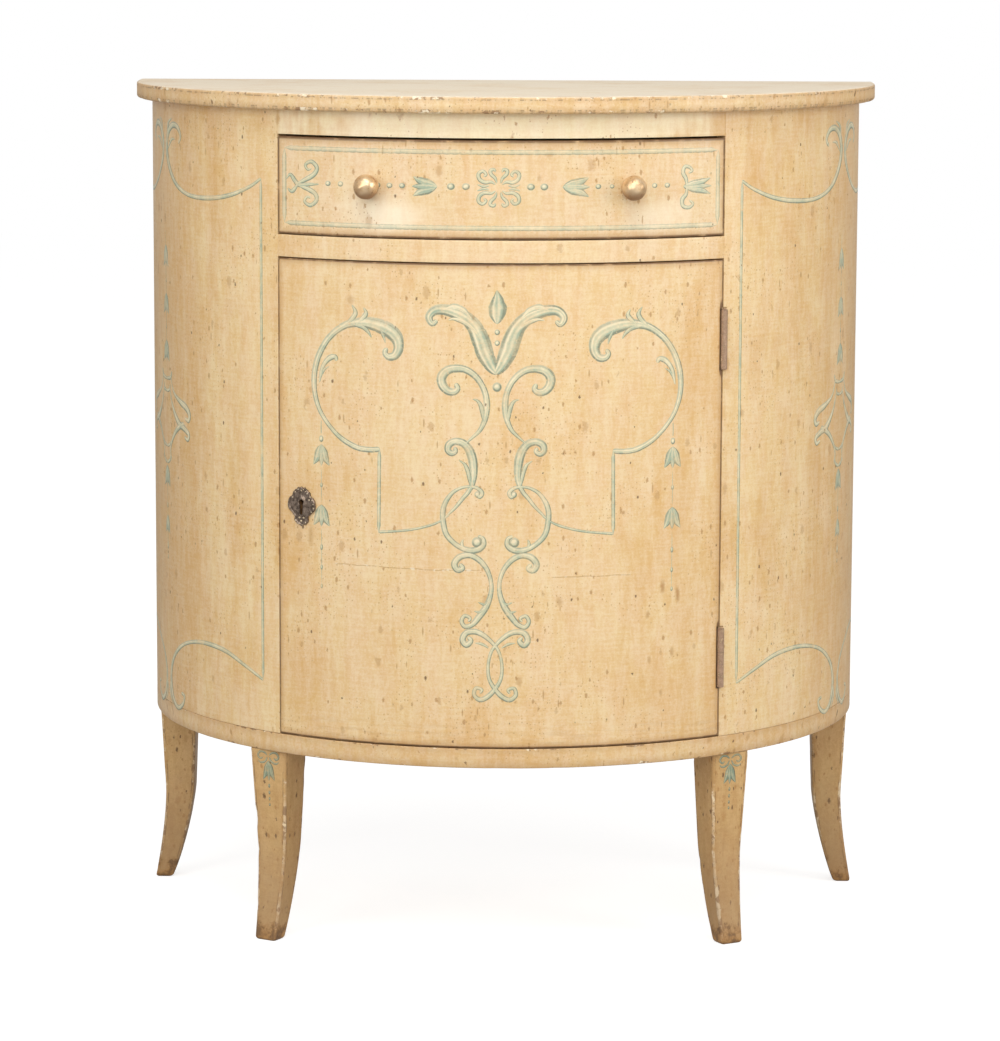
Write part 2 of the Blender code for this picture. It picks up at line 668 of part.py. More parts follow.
def build_drawer_sides(front, back):
    """The drawer's sides, dovetailed into the front and the back and grooved for the bottom."""
    zone_low, zone_top = DRAWER_LOW + TAIL_ZONE_LOW, DRAWER_SIDE_TOP - TAIL_ZONE_TOP
    back_top = DRAWER_SIDE_TOP - DRAWER_BACK_DROP
    pieces = []
    for side, sign in (("left", -1), ("right", 1)):
        middle = sign * (DRAWER_HALF_WIDTH + DRAWER_SIDE_INNER_X) / 2
        outer = sign * DRAWER_HALF_WIDTH
        inner = sign * DRAWER_SIDE_INNER_X
        outline = [
            (outer, front_y(DRAWER_FRONT_INNER - SEAT_GAP, DRAWER_HALF_WIDTH)),
            (outer, DRAWER_BACK_FACE_Y - SEAT_GAP), (inner, DRAWER_BACK_FACE_Y - SEAT_GAP),
            (inner, front_y(DRAWER_FRONT_INNER - SEAT_GAP, DRAWER_SIDE_INNER_X)),
        ]
        name = f"{side}_drawer_side"
        piece = board(name, outline, DRAWER_LOW, DRAWER_SIDE_TOP, "pine")
        shoulder = front_y(DRAWER_FRONT_INNER, DRAWER_HALF_WIDTH)
        ends = (
            ("front_tail", shoulder, tail_tip_y(), zone_low, zone_top, front),
            ("rear_tail", DRAWER_BACK_FACE_Y - SEAT_GAP, DRAWER_REAR_Y, zone_low, back_top, back),
        )
        for end, root, tip, low, high, mate in ends:
            thickness = DRAWER_SIDE_THICKNESS
            join(piece, *tails(f"{name}_{end}", root, tip, low, high, thickness, middle, 0))
            cut(mate, *tails(f"{name}_{end}_socket", root, tip, low, high, thickness, middle, SEAT_GAP))
        low_x, high_x = sorted((inner - sign * OVERRUN, inner + sign * (GROOVE_DEPTH + SEAT_GAP)))
        groove = block(
            f"{name}_groove",
            (low_x, front_y(DRAWER_FRONT_INNER, 0), BOTTOM_LOW - SEAT_GAP),
            (high_x, DRAWER_REAR_Y + OVERRUN, BOTTOM_TOP + SEAT_GAP),
        )
        pieces.append(cut(piece, groove))
    return pieces


def build_drawer_back():
    """The drawer's back, which stands on the bottom board."""
    return block(
        "drawer_back",
        (-DRAWER_HALF_WIDTH, DRAWER_BACK_FACE_Y, BOTTOM_TOP + SEAT_GAP),
        (DRAWER_HALF_WIDTH, DRAWER_REAR_Y, DRAWER_SIDE_TOP - DRAWER_BACK_DROP + TAIL_ZONE_TOP),
        "pine",
    )


def build_drawer_bottom():
    """The drawer's bottom board, with its front edge bowed to sit in the front's groove."""
    front_radius = DRAWER_FRONT_INNER + GROOVE_DEPTH
    half = DRAWER_SIDE_INNER_X + GROOVE_DEPTH
    angle = math.asin(half / front_radius)
    outline = arc(front_radius, -angle, angle) + [(half, DRAWER_REAR_Y), (-half, DRAWER_REAR_Y)]
    return board("drawer_bottom", outline, BOTTOM_LOW, BOTTOM_TOP, "pine")


def build_knobs(front):
    """The turned knobs, each with its spindle through the drawer front and a square nut behind."""
    pieces = []
    middle = (DRAWER_OPENING_BOTTOM + DRAWER_OPENING_TOP) / 2 + KNOB_RISE
    spindle_end = -(DRAWER_FRONT_THICKNESS + NUT_THICKNESS + SPINDLE_TAIL)
    profile = [(r * KNOB_RADIUS, z * KNOB_HEIGHT + SEAT_GAP) for r, z in KNOB_PROFILE_SHARES]
    profile += [(SPINDLE_RADIUS, SEAT_GAP), (SPINDLE_RADIUS, spindle_end), (0, spindle_end)]
    for side, sign in (("left", -1), ("right", 1)):
        place = at_rim(sign * math.asin(KNOB_HALF_SPACING / BODY_RADIUS), middle) @ UPRIGHT_ALONG_X
        pieces.append(turned(f"{side}_knob", profile, "gilt", place))
        hole = rod(
            f"{side}_knob_hole", SPINDLE_RADIUS + SEAT_GAP, spindle_end - OVERRUN, OVERRUN, place=place
        )
        cut(front, hole)
        nut_top = -(DRAWER_FRONT_THICKNESS + SEAT_GAP)
        half = NUT_SIZE / 2
        nut = block(
            f"{side}_knob_nut", (-half, -half, nut_top - NUT_THICKNESS), (half, half, nut_top), "brass", place
        )
        pieces.append(cut(nut, hole))
    return pieces


def build_drawer():
    """The whole drawer, carried by an empty at its front."""
    front = build_drawer_front()
    back = build_drawer_back()
    pieces = [front, back, build_drawer_bottom()]
    pieces += build_drawer_sides(front, back)
    pieces += build_knobs(front)
    carry("drawer_slide", (0, front_y(BODY_RADIUS, 0), DRAWER_LOW), pieces)


def leaf_outline(own):
    """A hinge leaf, seen flat: a plate with a finger at each of its own knuckles."""
    pitch = HINGE_LENGTH / KNUCKLE_COUNT
    plate_start = KNUCKLE_RADIUS + KNUCKLE_GAP
    low, high = KNUCKLE_GAP / 2, HINGE_LENGTH - KNUCKLE_GAP / 2
    edge = []
    for number in range(KNUCKLE_COUNT):
        reach, inset = (0, KNUCKLE_GAP / 2) if number in own else (plate_start, -KNUCKLE_GAP / 2)
        edge.append((reach, max(number * pitch + inset, low)))
        edge.append((reach, min((number + 1) * pitch - inset, high)))
    return edge + [(LEAF_WIDTH, high), (LEAF_WIDTH, low)]


def build_leaf(name, own, sign, bottom):
    """One leaf of a hinge with its knuckles, bored for the pin and holed for three screws."""
    axis = at_rim(OPENING_ANGLE, bottom) @ Matrix.Translation((0, -BARREL_PROUD, 0))
    middle = sign * (LEAF_SPLIT + LEAF_THICKNESS) / 2
    leaf = prism(
        name, leaf_outline(own), LEAF_THICKNESS,
        axis @ Matrix.Translation((middle, 0, 0)) @ UPRIGHT_ALONG_Y, "iron",
    )
    pitch = HINGE_LENGTH / KNUCKLE_COUNT
    for number in own:
        low, high = number * pitch + KNUCKLE_GAP / 2, (number + 1) * pitch - KNUCKLE_GAP / 2
        join(leaf, rod(f"{name}_knuckle_{number + 1}", KNUCKLE_RADIUS, low, high, place=axis))
    bore = rod(f"{name}_bore", PIN_RADIUS + SEAT_GAP, -OVERRUN, HINGE_LENGTH + OVERRUN, place=axis)
    cut(leaf, bore)
    for number, share in enumerate(LEAF_HOLE_SPREAD_SHARES):
        spot = (middle, LEAF_WIDTH * LEAF_HOLE_PLACE_SHARE, HINGE_LENGTH * (0.5 + share))
        place = axis @ Matrix.Translation(spot) @ Matrix.Rotation(QUARTER, 4, "Y")
        hole = rod(
            f"{name}_hole_{number + 1}", LEAF_HOLE_RADIUS, -OVERRUN, OVERRUN, place=place, steps=HOLE_STEPS
        )
        cut(leaf, hole)
    return leaf


def build_hinges(door):
    """Both hinges, each a leaf on the case, a leaf on the door and a pin, let into the wood."""
    door_leaves = []
    for name, top in (("upper_hinge", UPPER_HINGE_TOP), ("lower_hinge", LOWER_HINGE_TOP)):
        bottom = top - HINGE_LENGTH
        axis = at_rim(OPENING_ANGLE, bottom) @ Matrix.Translation((0, -BARREL_PROUD, 0))
        build_leaf(f"{name}_case_leaf", (0, 2, 4), 1, bottom)
        door_leaves.append(build_leaf(f"{name}_door_leaf", (1, 3), -1, bottom))
        tip = HINGE_LENGTH + PIN_TIP_HEIGHT
        profile = [
            (0, tip), (PIN_TIP_RADIUS / 2, tip), (PIN_TIP_RADIUS, HINGE_LENGTH + PIN_TIP_HEIGHT / 2),
            (PIN_TIP_RADIUS, HINGE_LENGTH + SEAT_GAP / 2), (PIN_RADIUS, HINGE_LENGTH + SEAT_GAP / 2),
            (PIN_RADIUS, 0), (0, 0),
        ]
        turned(f"{name}_pin", profile, "iron", axis, FINE_STEPS)
        barrel = rod(
            f"{name}_barrel_recess", KNUCKLE_RADIUS + SIDE_GAP, -RUNNING_GAP,
            tip + RUNNING_GAP, place=axis,
        )
        outer = LEAF_SPLIT / 2 + LEAF_THICKNESS + SEAT_GAP
        for sign, pieces in ((1, ("right_side_panel", "right_front_post")), (-1, ("door_panel",))):
            low, high = sorted((0, sign * outer))
            recess = block(
                f"{name}_{pieces[0]}_recess", (low, 0, -SEAT_GAP),
                (high, LEAF_WIDTH + SEAT_GAP, HINGE_LENGTH + SEAT_GAP), place=axis,
            )
            for piece in pieces:
                cut(bpy.data.objects[piece], recess)
        cut(door, barrel)
        cut(bpy.data.objects["right_side_panel"], barrel)
    return door_leaves


def keyhole_outline():
    """A round hole with a slot below it, seen from the front."""
    half = KEYHOLE_SLOT_WIDTH / 2
    slot = math.asin(half / KEYHOLE_RADIUS)
    turn = 2 * (FULL - slot)
    turns = [slot - QUARTER + turn * i / FINE_STEPS for i in range(FINE_STEPS + 1)]
    ring = [(KEYHOLE_RADIUS * math.cos(angle), KEYHOLE_RADIUS * math.sin(angle)) for angle in turns]
    return ring + [(-half, -KEYHOLE_SLOT_DROP), (half, -KEYHOLE_SLOT_DROP)]


def build_lock(door):
    """The cupboard lock: its case let into the door, the sliding bolt and the strike plate in the post."""
    place = at_rim(KEYHOLE_ANGLE, KEYHOLE_Z)
    case = block(
        "lock_case", (-LOCK_LEFT, LOCK_OUTER_DEPTH, -LOCK_BELOW), (LOCK_RIGHT, LOCK_INNER_DEPTH, LOCK_ABOVE),
        "iron", place,
    )
    pocket = block(
        "lock_pocket", (-LOCK_LEFT - KEYHOLE_FROM_EDGE, LOCK_OUTER_DEPTH - SEAT_GAP, -LOCK_BELOW - SEAT_GAP),
        (LOCK_RIGHT + SEAT_GAP, LOCK_INNER_DEPTH + OVERRUN, LOCK_ABOVE + SEAT_GAP), place=place,
    )
    near, far = BOLT_DEPTH - BOLT_THICKNESS / 2, BOLT_DEPTH + BOLT_THICKNESS / 2
    bolt_low, bolt_high = BOLT_RISE, BOLT_RISE + BOLT_HEIGHT
    channel = block(
        "bolt_channel", (-LOCK_LEFT - OVERRUN, near - SEAT_GAP, bolt_low - SEAT_GAP),
        (BOLT_TAIL + SEAT_GAP, far + SEAT_GAP, bolt_high + SEAT_GAP), place=place,
    )
    chamber = rod(
        "key_chamber", KEY_CHAMBER_RADIUS, -far - SEAT_GAP, -near + SEAT_GAP,
        place=place @ UPRIGHT_ALONG_X,
    )
    keyhole_length = OVERRUN + BOLT_DEPTH
    keyhole = prism(
        "keyhole", keyhole_outline(), keyhole_length,
        place @ Matrix.Translation((0, keyhole_length / 2 - OVERRUN, 0)) @ UPRIGHT_ALONG_X,
    )
    cut(case, channel, chamber, keyhole)
    cut(door, pocket, keyhole)
    bolt = block("lock_bolt", (-LOCK_LEFT, near, bolt_low), (BOLT_TAIL, far, bolt_high), "brass", place)
    talon = rod(
        "bolt_talon", TALON_RADIUS, -far - OVERRUN, -near + OVERRUN,
        place=place @ Matrix.Translation((0, 0, bolt_low)) @ UPRIGHT_ALONG_X,
    )
    cut(bolt, talon)
    x, y = spot_at(BODY_RADIUS - BOLT_DEPTH, KEYHOLE_ANGLE)
    carry("lock_bolt_slide", (x, y, KEYHOLE_Z), [bolt])
    build_strike(bolt_low, bolt_high)
    return case, keyhole


def build_strike(bolt_low, bolt_high):
    """The strike plate let into the left front post, with the mortise that the bolt shoots into."""
    place = at_rim(-EDGE_ANGLE, KEYHOLE_Z)
    reach = LOCK_LEFT + BOLT_TRAVEL / 2
    middle = BODY_RADIUS - math.hypot(BODY_RADIUS - BOLT_DEPTH, reach)
    half = BOLT_THICKNESS / 2 + STRIKE_PLAY
    low, high = bolt_low - STRIKE_PLAY, bolt_high + STRIKE_PLAY
    post_middle = SKIN_THICKNESS + SEAT_GAP + POST_DEPTH / 2
    near, far = post_middle - STRIKE_WIDTH / 2, post_middle + STRIKE_WIDTH / 2
    strike = block(
        "strike_plate", (-STRIKE_THICKNESS, near, low - STRIKE_MARGIN), (0, far, high + STRIKE_MARGIN),
        "brass", place,
    )
    recess = block(
        "strike_recess", (-STRIKE_THICKNESS - SEAT_GAP, near - SEAT_GAP, low - STRIKE_MARGIN - SEAT_GAP),
        (OVERRUN, far + SEAT_GAP, high + STRIKE_MARGIN + SEAT_GAP), place=place,
    )
    mortise = block(
        "bolt_mortise", (-BOLT_TRAVEL - MORTISE_SPARE, middle - half, low), (OVERRUN, middle + half, high),
        place=place,
    )
    cut(strike, mortise)
    cut(bpy.data.objects["left_front_post"], recess, mortise)


def build_escutcheon(keyhole):
    """The keyhole's cast plate, a shaped outline the same on both sides."""
    right = [
        (x * ESCUTCHEON_HALF_WIDTH, z * ESCUTCHEON_HALF_HEIGHT) for x, z in ESCUTCHEON_OUTLINE_SHARES
    ]
    outline = right + [(-x, z) for x, z in reversed(right[1:-1])]
    rest = -SEAT_GAP - ESCUTCHEON_THICKNESS / 2
    place = at_rim(KEYHOLE_ANGLE, KEYHOLE_Z - ESCUTCHEON_DROP) @ Matrix.Translation((0, rest, 0))
    plate = prism(
        "escutcheon", outline, ESCUTCHEON_THICKNESS, place @ UPRIGHT_ALONG_X, "bronze", ESCUTCHEON_CURVE_STEPS
    )
    soften(plate, ESCUTCHEON_EDGE, 1)
    return cut(plate, keyhole)


def build_door():
    """The bowed door with its hinge leaves, lock and escutcheon, carried by an empty on the hinges' axis."""
    door = rib(
        "door_panel", DOOR_INNER, BODY_RADIUS, -LEAF_ANGLE, LEAF_ANGLE, DOOR_BOTTOM, DOOR_TOP, "paint"
    )
    leaves = build_hinges(door)
    case, keyhole = build_lock(door)
    plate = build_escutcheon(keyhole)
    x, y = spot_at(HINGE_AXIS_RADIUS, OPENING_ANGLE)
    carry("door_hinge_axis", (x, y, DOOR_BOTTOM), [door, case, plate, *leaves])


def main():
    """Builds the cabinet: its case first, then what moves in it."""
    clear_scene()
    build_top_and_base()
    build_rails()
    build_case_sides()
    build_back()
    build_inner_boards()
    build_drawer_ways()
    build_door_stops()
    build_legs()
    build_drawer()
    build_door()
    bpy.context.view_layer.update()


main()
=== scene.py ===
"""Demilune cabinet: the painted, aged look of the half-round cabinet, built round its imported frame.

Lengths are metres, and millimetres in the painted ornament. The cabinet faces -Y and +Z is up. A place on
the round face is given by its run, the distance along the face from the middle of the front, and its height.
"""

from __future__ import annotations

import logging
import math
from dataclasses import dataclass, field, replace
from enum import Enum
from typing import Callable, Iterable, Sequence

import bmesh
import bpy
from mathutils import Matrix, Vector, noise


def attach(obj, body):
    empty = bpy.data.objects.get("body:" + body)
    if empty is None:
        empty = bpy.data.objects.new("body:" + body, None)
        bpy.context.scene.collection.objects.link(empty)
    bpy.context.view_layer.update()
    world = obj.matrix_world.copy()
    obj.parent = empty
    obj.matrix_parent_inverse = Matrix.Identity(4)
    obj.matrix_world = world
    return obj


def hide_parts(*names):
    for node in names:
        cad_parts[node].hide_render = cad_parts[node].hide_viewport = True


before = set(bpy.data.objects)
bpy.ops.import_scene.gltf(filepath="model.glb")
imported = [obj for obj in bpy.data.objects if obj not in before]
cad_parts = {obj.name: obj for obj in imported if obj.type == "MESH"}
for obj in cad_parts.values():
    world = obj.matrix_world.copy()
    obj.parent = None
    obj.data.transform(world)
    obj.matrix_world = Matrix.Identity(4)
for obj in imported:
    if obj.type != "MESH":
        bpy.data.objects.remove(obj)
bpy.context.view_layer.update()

LOG = logging.getLogger("demilune_cabinet")
MM = 0.001
QUARTER = math.pi / 2
DIAGONAL = 0.7071
SHARP_DEGREES = 35.0
SIDES: tuple[tuple[str, int], ...] = (("left", -1), ("right", 1))
EDGE_NAME = "edge_distance"
SHADE_NAME = "shade"
ACROSS_NAME = "across"
RIBS_NAME = "ribs"

Colour = tuple[float, float, float]
Spot = tuple[float, float]
Spots = tuple[Spot, ...]
Triple = tuple[float, float, float]


@dataclass(frozen=True)
class Plan:
    """The half round that the body follows, with a short straight run behind it."""

    radius: float = 0.37
    centre_y: float = 0.182
    back_y: float = 0.204
    opening_run: float = 0.23535
    edge_gap: float = 0.00045
    leg_top: float = 0.1955
    base_top: float = 0.215
    top_underside: float = 0.8385
    height: float = 0.855
    wave_depth: float = 0.00012
    wave_width: float = 0.085
    wave_height: float = 0.15

    @property
    def quarter_run(self) -> float:
        """The run at which the face turns straight."""
        return self.radius * QUARTER

    @property
    def front_run(self) -> float:
        """The run at which the door and the drawer front end."""
        return self.opening_run - self.edge_gap

    @property
    def end_run(self) -> float:
        """The run at the back edge of the body."""
        return self.quarter_run + self.back_y - self.centre_y

    def wave(self, run: float, height: float) -> float:
        """How far hand planing left the face proud or hollow at a place."""
        return self.wave_depth * noise.noise(Vector((run / self.wave_width, height / self.wave_height, 0)))

    def wrap(self, run: float, depth: float, height: float) -> Vector:
        """A point of space from its place on the body.

        Args:
            run: The distance along the face.
            depth: The depth inside the face.
            height: The height.

        Returns:
            The point.
        """
        bent = max(-self.quarter_run, min(self.quarter_run, run))
        angle = bent / self.radius
        reach = self.radius - depth
        return Vector((
            reach * math.sin(angle), self.centre_y - reach * math.cos(angle) + abs(run - bent), height,
        ))

    def rim(self, angle: float, height: float = 0.0, radius: float | None = None) -> Matrix:
        """A place on the round face, with +Y pointing into the cabinet.

        Args:
            angle: The angle from the middle of the front.
            height: The height.
            radius: The distance from the round's middle, if it isn't the face's.

        Returns:
            The place.
        """
        reach = self.radius if radius is None else radius
        spot = (reach * math.sin(angle), self.centre_y - reach * math.cos(angle), height)
        return Matrix.Translation(spot) @ Matrix.Rotation(angle, 4, "Z")


PLAN = Plan()


def operator(operation: str, flipped: bool = False) -> Callable[[Value, Value | float], Value]:
    """Makes an operator of two terms from one operation of the maths node.

    Args:
        operation: The node's operation.
        flipped: Whether the value stands on the right.

    Returns:
        The operator.
    """
    def apply(value: Value, other: Value | float) -> Value:
        """Adds the node."""
        return value.maths(operation, *((other, value) if flipped else (value, other)))
    return apply


class Value:
    """A socket of a material's graph that can be used in Python expressions."""

    __add__, __radd__ = operator("ADD"), operator("ADD", flipped=True)
    __sub__, __rsub__ = operator("SUBTRACT"), operator("SUBTRACT", flipped=True)
    __mul__, __rmul__ = operator("MULTIPLY"), operator("MULTIPLY", flipped=True)
    __truediv__, __pow__ = operator("DIVIDE"), operator("POWER")
    highest = operator("MAXIMUM")

    def __init__(self, graph: Graph, socket: bpy.types.NodeSocket) -> None:
        """Wraps a socket."""
        self.graph = graph
        self.socket = socket

    def maths(self, operation: str, *terms: Value | float) -> Value:
        """Adds a maths node to the value's graph."""
        return self.graph.node("ShaderNodeMath", {"operation": operation}, dict(enumerate(terms)))

    def __abs__(self) -> Value:
        """Size without sign."""
        return self.maths("ABSOLUTE", self)

    def sine(self) -> Value:
        """Sine of the value."""
        return self.maths("SINE", self)

    def ramp(self, low: float, high: float, start: float = 0.0, end: float = 1.0) -> Value:
        """A smooth step that goes from start at low to end at high."""
        settings = {"interpolation_type": "SMOOTHSTEP"}
        return self.graph.node("ShaderNodeMapRange", settings, {0: self, 1: low, 2: high, 3: start, 4: end})


class Graph:
    """The nodes of one material, or of the sky, with the patterns that the finishes share."""

    def __init__(self, name: str, sky: bool = False) -> None:
        """Makes an empty material, or an empty sky, with its output.

        Args:
            name: Its name.
            sky: Whether it is the sky.
        """
        self.owner = (bpy.data.worlds if sky else bpy.data.materials).new(name)
        self.owner.use_nodes = True
        self.tree = self.owner.node_tree
        self.tree.nodes.clear()
        self.output = self.tree.nodes.new("ShaderNodeOutputWorld" if sky else "ShaderNodeOutputMaterial")
        self.places: dict[str, Value] = {}

    def node(
        self, kind: str, settings: dict | None = None, inputs: dict | None = None, output: int | str = 0
    ) -> Value:
        """Adds any node.

        Args:
            kind: The node's type.
            settings: Its own settings, set first.
            inputs: Socket names or numbers, each with a number, a colour or a value to link.
            output: The socket that is returned.

        Returns:
            The output socket, ready for use in expressions.
        """
        made = self.tree.nodes.new(kind)
        for name, setting in (settings or {}).items():
            setattr(made, name, setting)
        for name, term in (inputs or {}).items():
            if isinstance(term, Value):
                self.tree.links.new(term.socket, made.inputs[name])
            else:
                made.inputs[name].default_value = term
        return Value(self, made.outputs[output])

    def finish(self, shader: Value) -> bpy.types.Material | bpy.types.World:
        """Joins the last shader to the output and hands the material or the sky over."""
        self.tree.links.new(shader.socket, self.output.inputs[0])
        return self.owner

    def principled(self, **sockets: Value | float) -> Value:
        """The main shader. A socket's name is written with underscores."""
        inputs = {name.replace("_", " ").title(): term for name, term in sockets.items()}
        return self.node("ShaderNodeBsdfPrincipled", None, inputs)

    def position(self) -> Value:
        """The point of the cabinet being shaded, in metres."""
        if "position" not in self.places:
            self.places["position"] = self.node("ShaderNodeTexCoord", None, None, "Object")
        return self.places["position"]

    def axis(self, vector: Value, index: int) -> Value:
        """One coordinate of a vector."""
        return self.node("ShaderNodeSeparateXYZ", None, {0: vector}, index)

    def vector(self, x: Value | float, y: Value | float, z: Value | float) -> Value:
        """A vector from three coordinates."""
        return self.node("ShaderNodeCombineXYZ", None, {0: x, 1: y, 2: z})

    def stretch(self, vector: Value, sizes: Triple) -> Value:
        """A vector with each coordinate multiplied by a number."""
        return self.node("ShaderNodeVectorMath", {"operation": "MULTIPLY"}, {0: vector, 1: sizes})

    def unrolled(self) -> Value:
        """The run, the depth and the height of the point being shaded."""
        if "unrolled" not in self.places:
            spot = self.position()
            x, y, z = (self.axis(spot, i) for i in range(3))
            ahead = PLAN.centre_y - y
            angle = self.node("ShaderNodeMath", {"operation": "ARCTAN2"}, {0: x, 1: ahead})
            reach = (x * x + ahead * ahead) ** 0.5
            self.places["unrolled"] = self.vector(angle * PLAN.radius, reach, z)
        return self.places["unrolled"]

    def attribute(self, name: str) -> Value:
        """A number stored on the mesh."""
        settings = {"attribute_type": "GEOMETRY", "attribute_name": name}
        return self.node("ShaderNodeAttribute", settings, None, "Fac")

    def ray(self, kind: str) -> Value:
        """Whether the ray is of a kind, such as the camera's."""
        return self.node("ShaderNodeLightPath", None, None, f"Is {kind} Ray")

    def upward(self) -> Value:
        """How far the surface faces up, from -1 to 1."""
        return self.axis(self.node("ShaderNodeNewGeometry", None, None, "Normal"), 2)

    def skin(self, planar: bool) -> Value:
        """The point being shaded on its flattened face.

        Args:
            planar: Whether the face lies level. An upright face is unrolled.

        Returns:
            The place on the flattened face.
        """
        spot = self.position() if planar else self.unrolled()
        a, b, c = (self.axis(spot, i) for i in range(3))
        return self.vector(a, b - c, 0.0) if planar else self.vector(a + b, c, 0.0)

    def noise(self, vector: Value, scale: float, detail: float, rough: float, warp: float = 0.0) -> Value:
        """Cloudy noise from 0 to 1."""
        inputs = {"Vector": vector, "Scale": scale, "Detail": detail, "Roughness": rough, "Distortion": warp}
        return self.node("ShaderNodeTexNoise", None, inputs)

    def cells(self, vector: Value, scale: float) -> tuple[Value, Value, Value]:
        """Scatters spots on a flattened face.

        Args:
            vector: The flattened place.
            scale: How many spots there are to a metre.

        Returns:
            The distance to the nearest spot and two chance numbers of that spot.
        """
        settings = {"voronoi_dimensions": "2D"}
        distance = self.node("ShaderNodeTexVoronoi", settings, {"Vector": vector, "Scale": scale})
        chance = Value(self, distance.socket.node.outputs["Color"])
        return distance, self.axis(chance, 0), self.axis(chance, 1)

    def blend(self, share: Value | float, low: Value | Colour, high: Value | Colour) -> Value:
        """A colour between two, by a share from 0 to 1."""
        ends = [term if isinstance(term, Value) else (*term, 1) for term in (low, high)]
        return self.node("ShaderNodeMix", {"data_type": "RGBA"}, {0: share, 6: ends[0], 7: ends[1]}, 2)

    def bump(self, height: Value, depth: float) -> Value:
        """A normal from a height, whose full range is a depth in metres."""
        return self.node("ShaderNodeBump", None, {"Height": height, "Distance": depth, "Strength": 1.0})


@dataclass(frozen=True)
class Spots2D:
    """One kind of mark scattered over a face: how big, how far apart, how long and how strong."""

    radius: float
    pitch: float
    share: float
    strength: float
    length: float = 1.0
    ragged: float = 0.9
    gather: float = 0.9

    def cover(self, g: Graph, skin: Value, crowd: Value) -> Value:
        """How strongly the marks cover a place.

        Args:
            g: The material's graph.
            skin: The flattened place.
            crowd: Where the marks gather, from 0 to 1.

        Returns:
            The cover, from 0 to 1.
        """
        near, chance, size = g.cells(g.stretch(skin, (1.0, 1.0 / self.length, 1.0)), 1.0 / self.pitch)
        reach = self.radius / self.pitch
        frayed = near + (g.noise(skin, 0.9 / self.radius, 4.0, 0.7) - 0.5) * (self.ragged * reach * 2)
        limit = (size * 0.75 + 0.45) * reach
        body = (frayed / limit).ramp(0.55, 1.25, 1.0, 0.0)
        there = (chance + (crowd - 0.5) * self.gather).ramp(1 - self.share, 1.03 - self.share)
        return body * there * self.strength


@dataclass(frozen=True)
class Band:
    """A stretch of the face between two runs where the paint has yellowed, with its strength."""

    start: float
    full: float
    strength: float

    def cover(self, run: Value) -> Value:
        """How strongly it lies over a run: nothing before its start and all of it past its full end."""
        if self.full > self.start:
            return run.ramp(self.start, self.full, 0.0, self.strength)
        return run.ramp(self.full, self.start, self.strength, 0.0)


@dataclass(frozen=True)
class Patch:
    """A soft place of another colour on the face: its run, its height and its two half sizes."""

    run: float
    height: float
    half_run: float
    half_height: float
    strength: float

    def cover(self, g: Graph, flat: Value) -> Value:
        """How strongly the patch covers a place.

        Args:
            g: The material's graph.
            flat: The place, as run, depth and height.

        Returns:
            The cover, from 0 to its strength.
        """
        across = (g.axis(flat, 0) - self.run) / self.half_run
        along = (g.axis(flat, 2) - self.height) / self.half_height
        fray = g.noise(flat, 3.2 / (self.half_run + self.half_height), 4.0, 0.6) - 0.5
        reach = (across * across + along * along) ** 0.5 + fray * 0.9
        return reach.ramp(0.15, 1.1, self.strength, 0.0)


@dataclass(frozen=True)
class Crack:
    """A hairline crack along the face, with its two ends and its height."""

    start: float
    end: float
    height: float
    white: float = 0.5


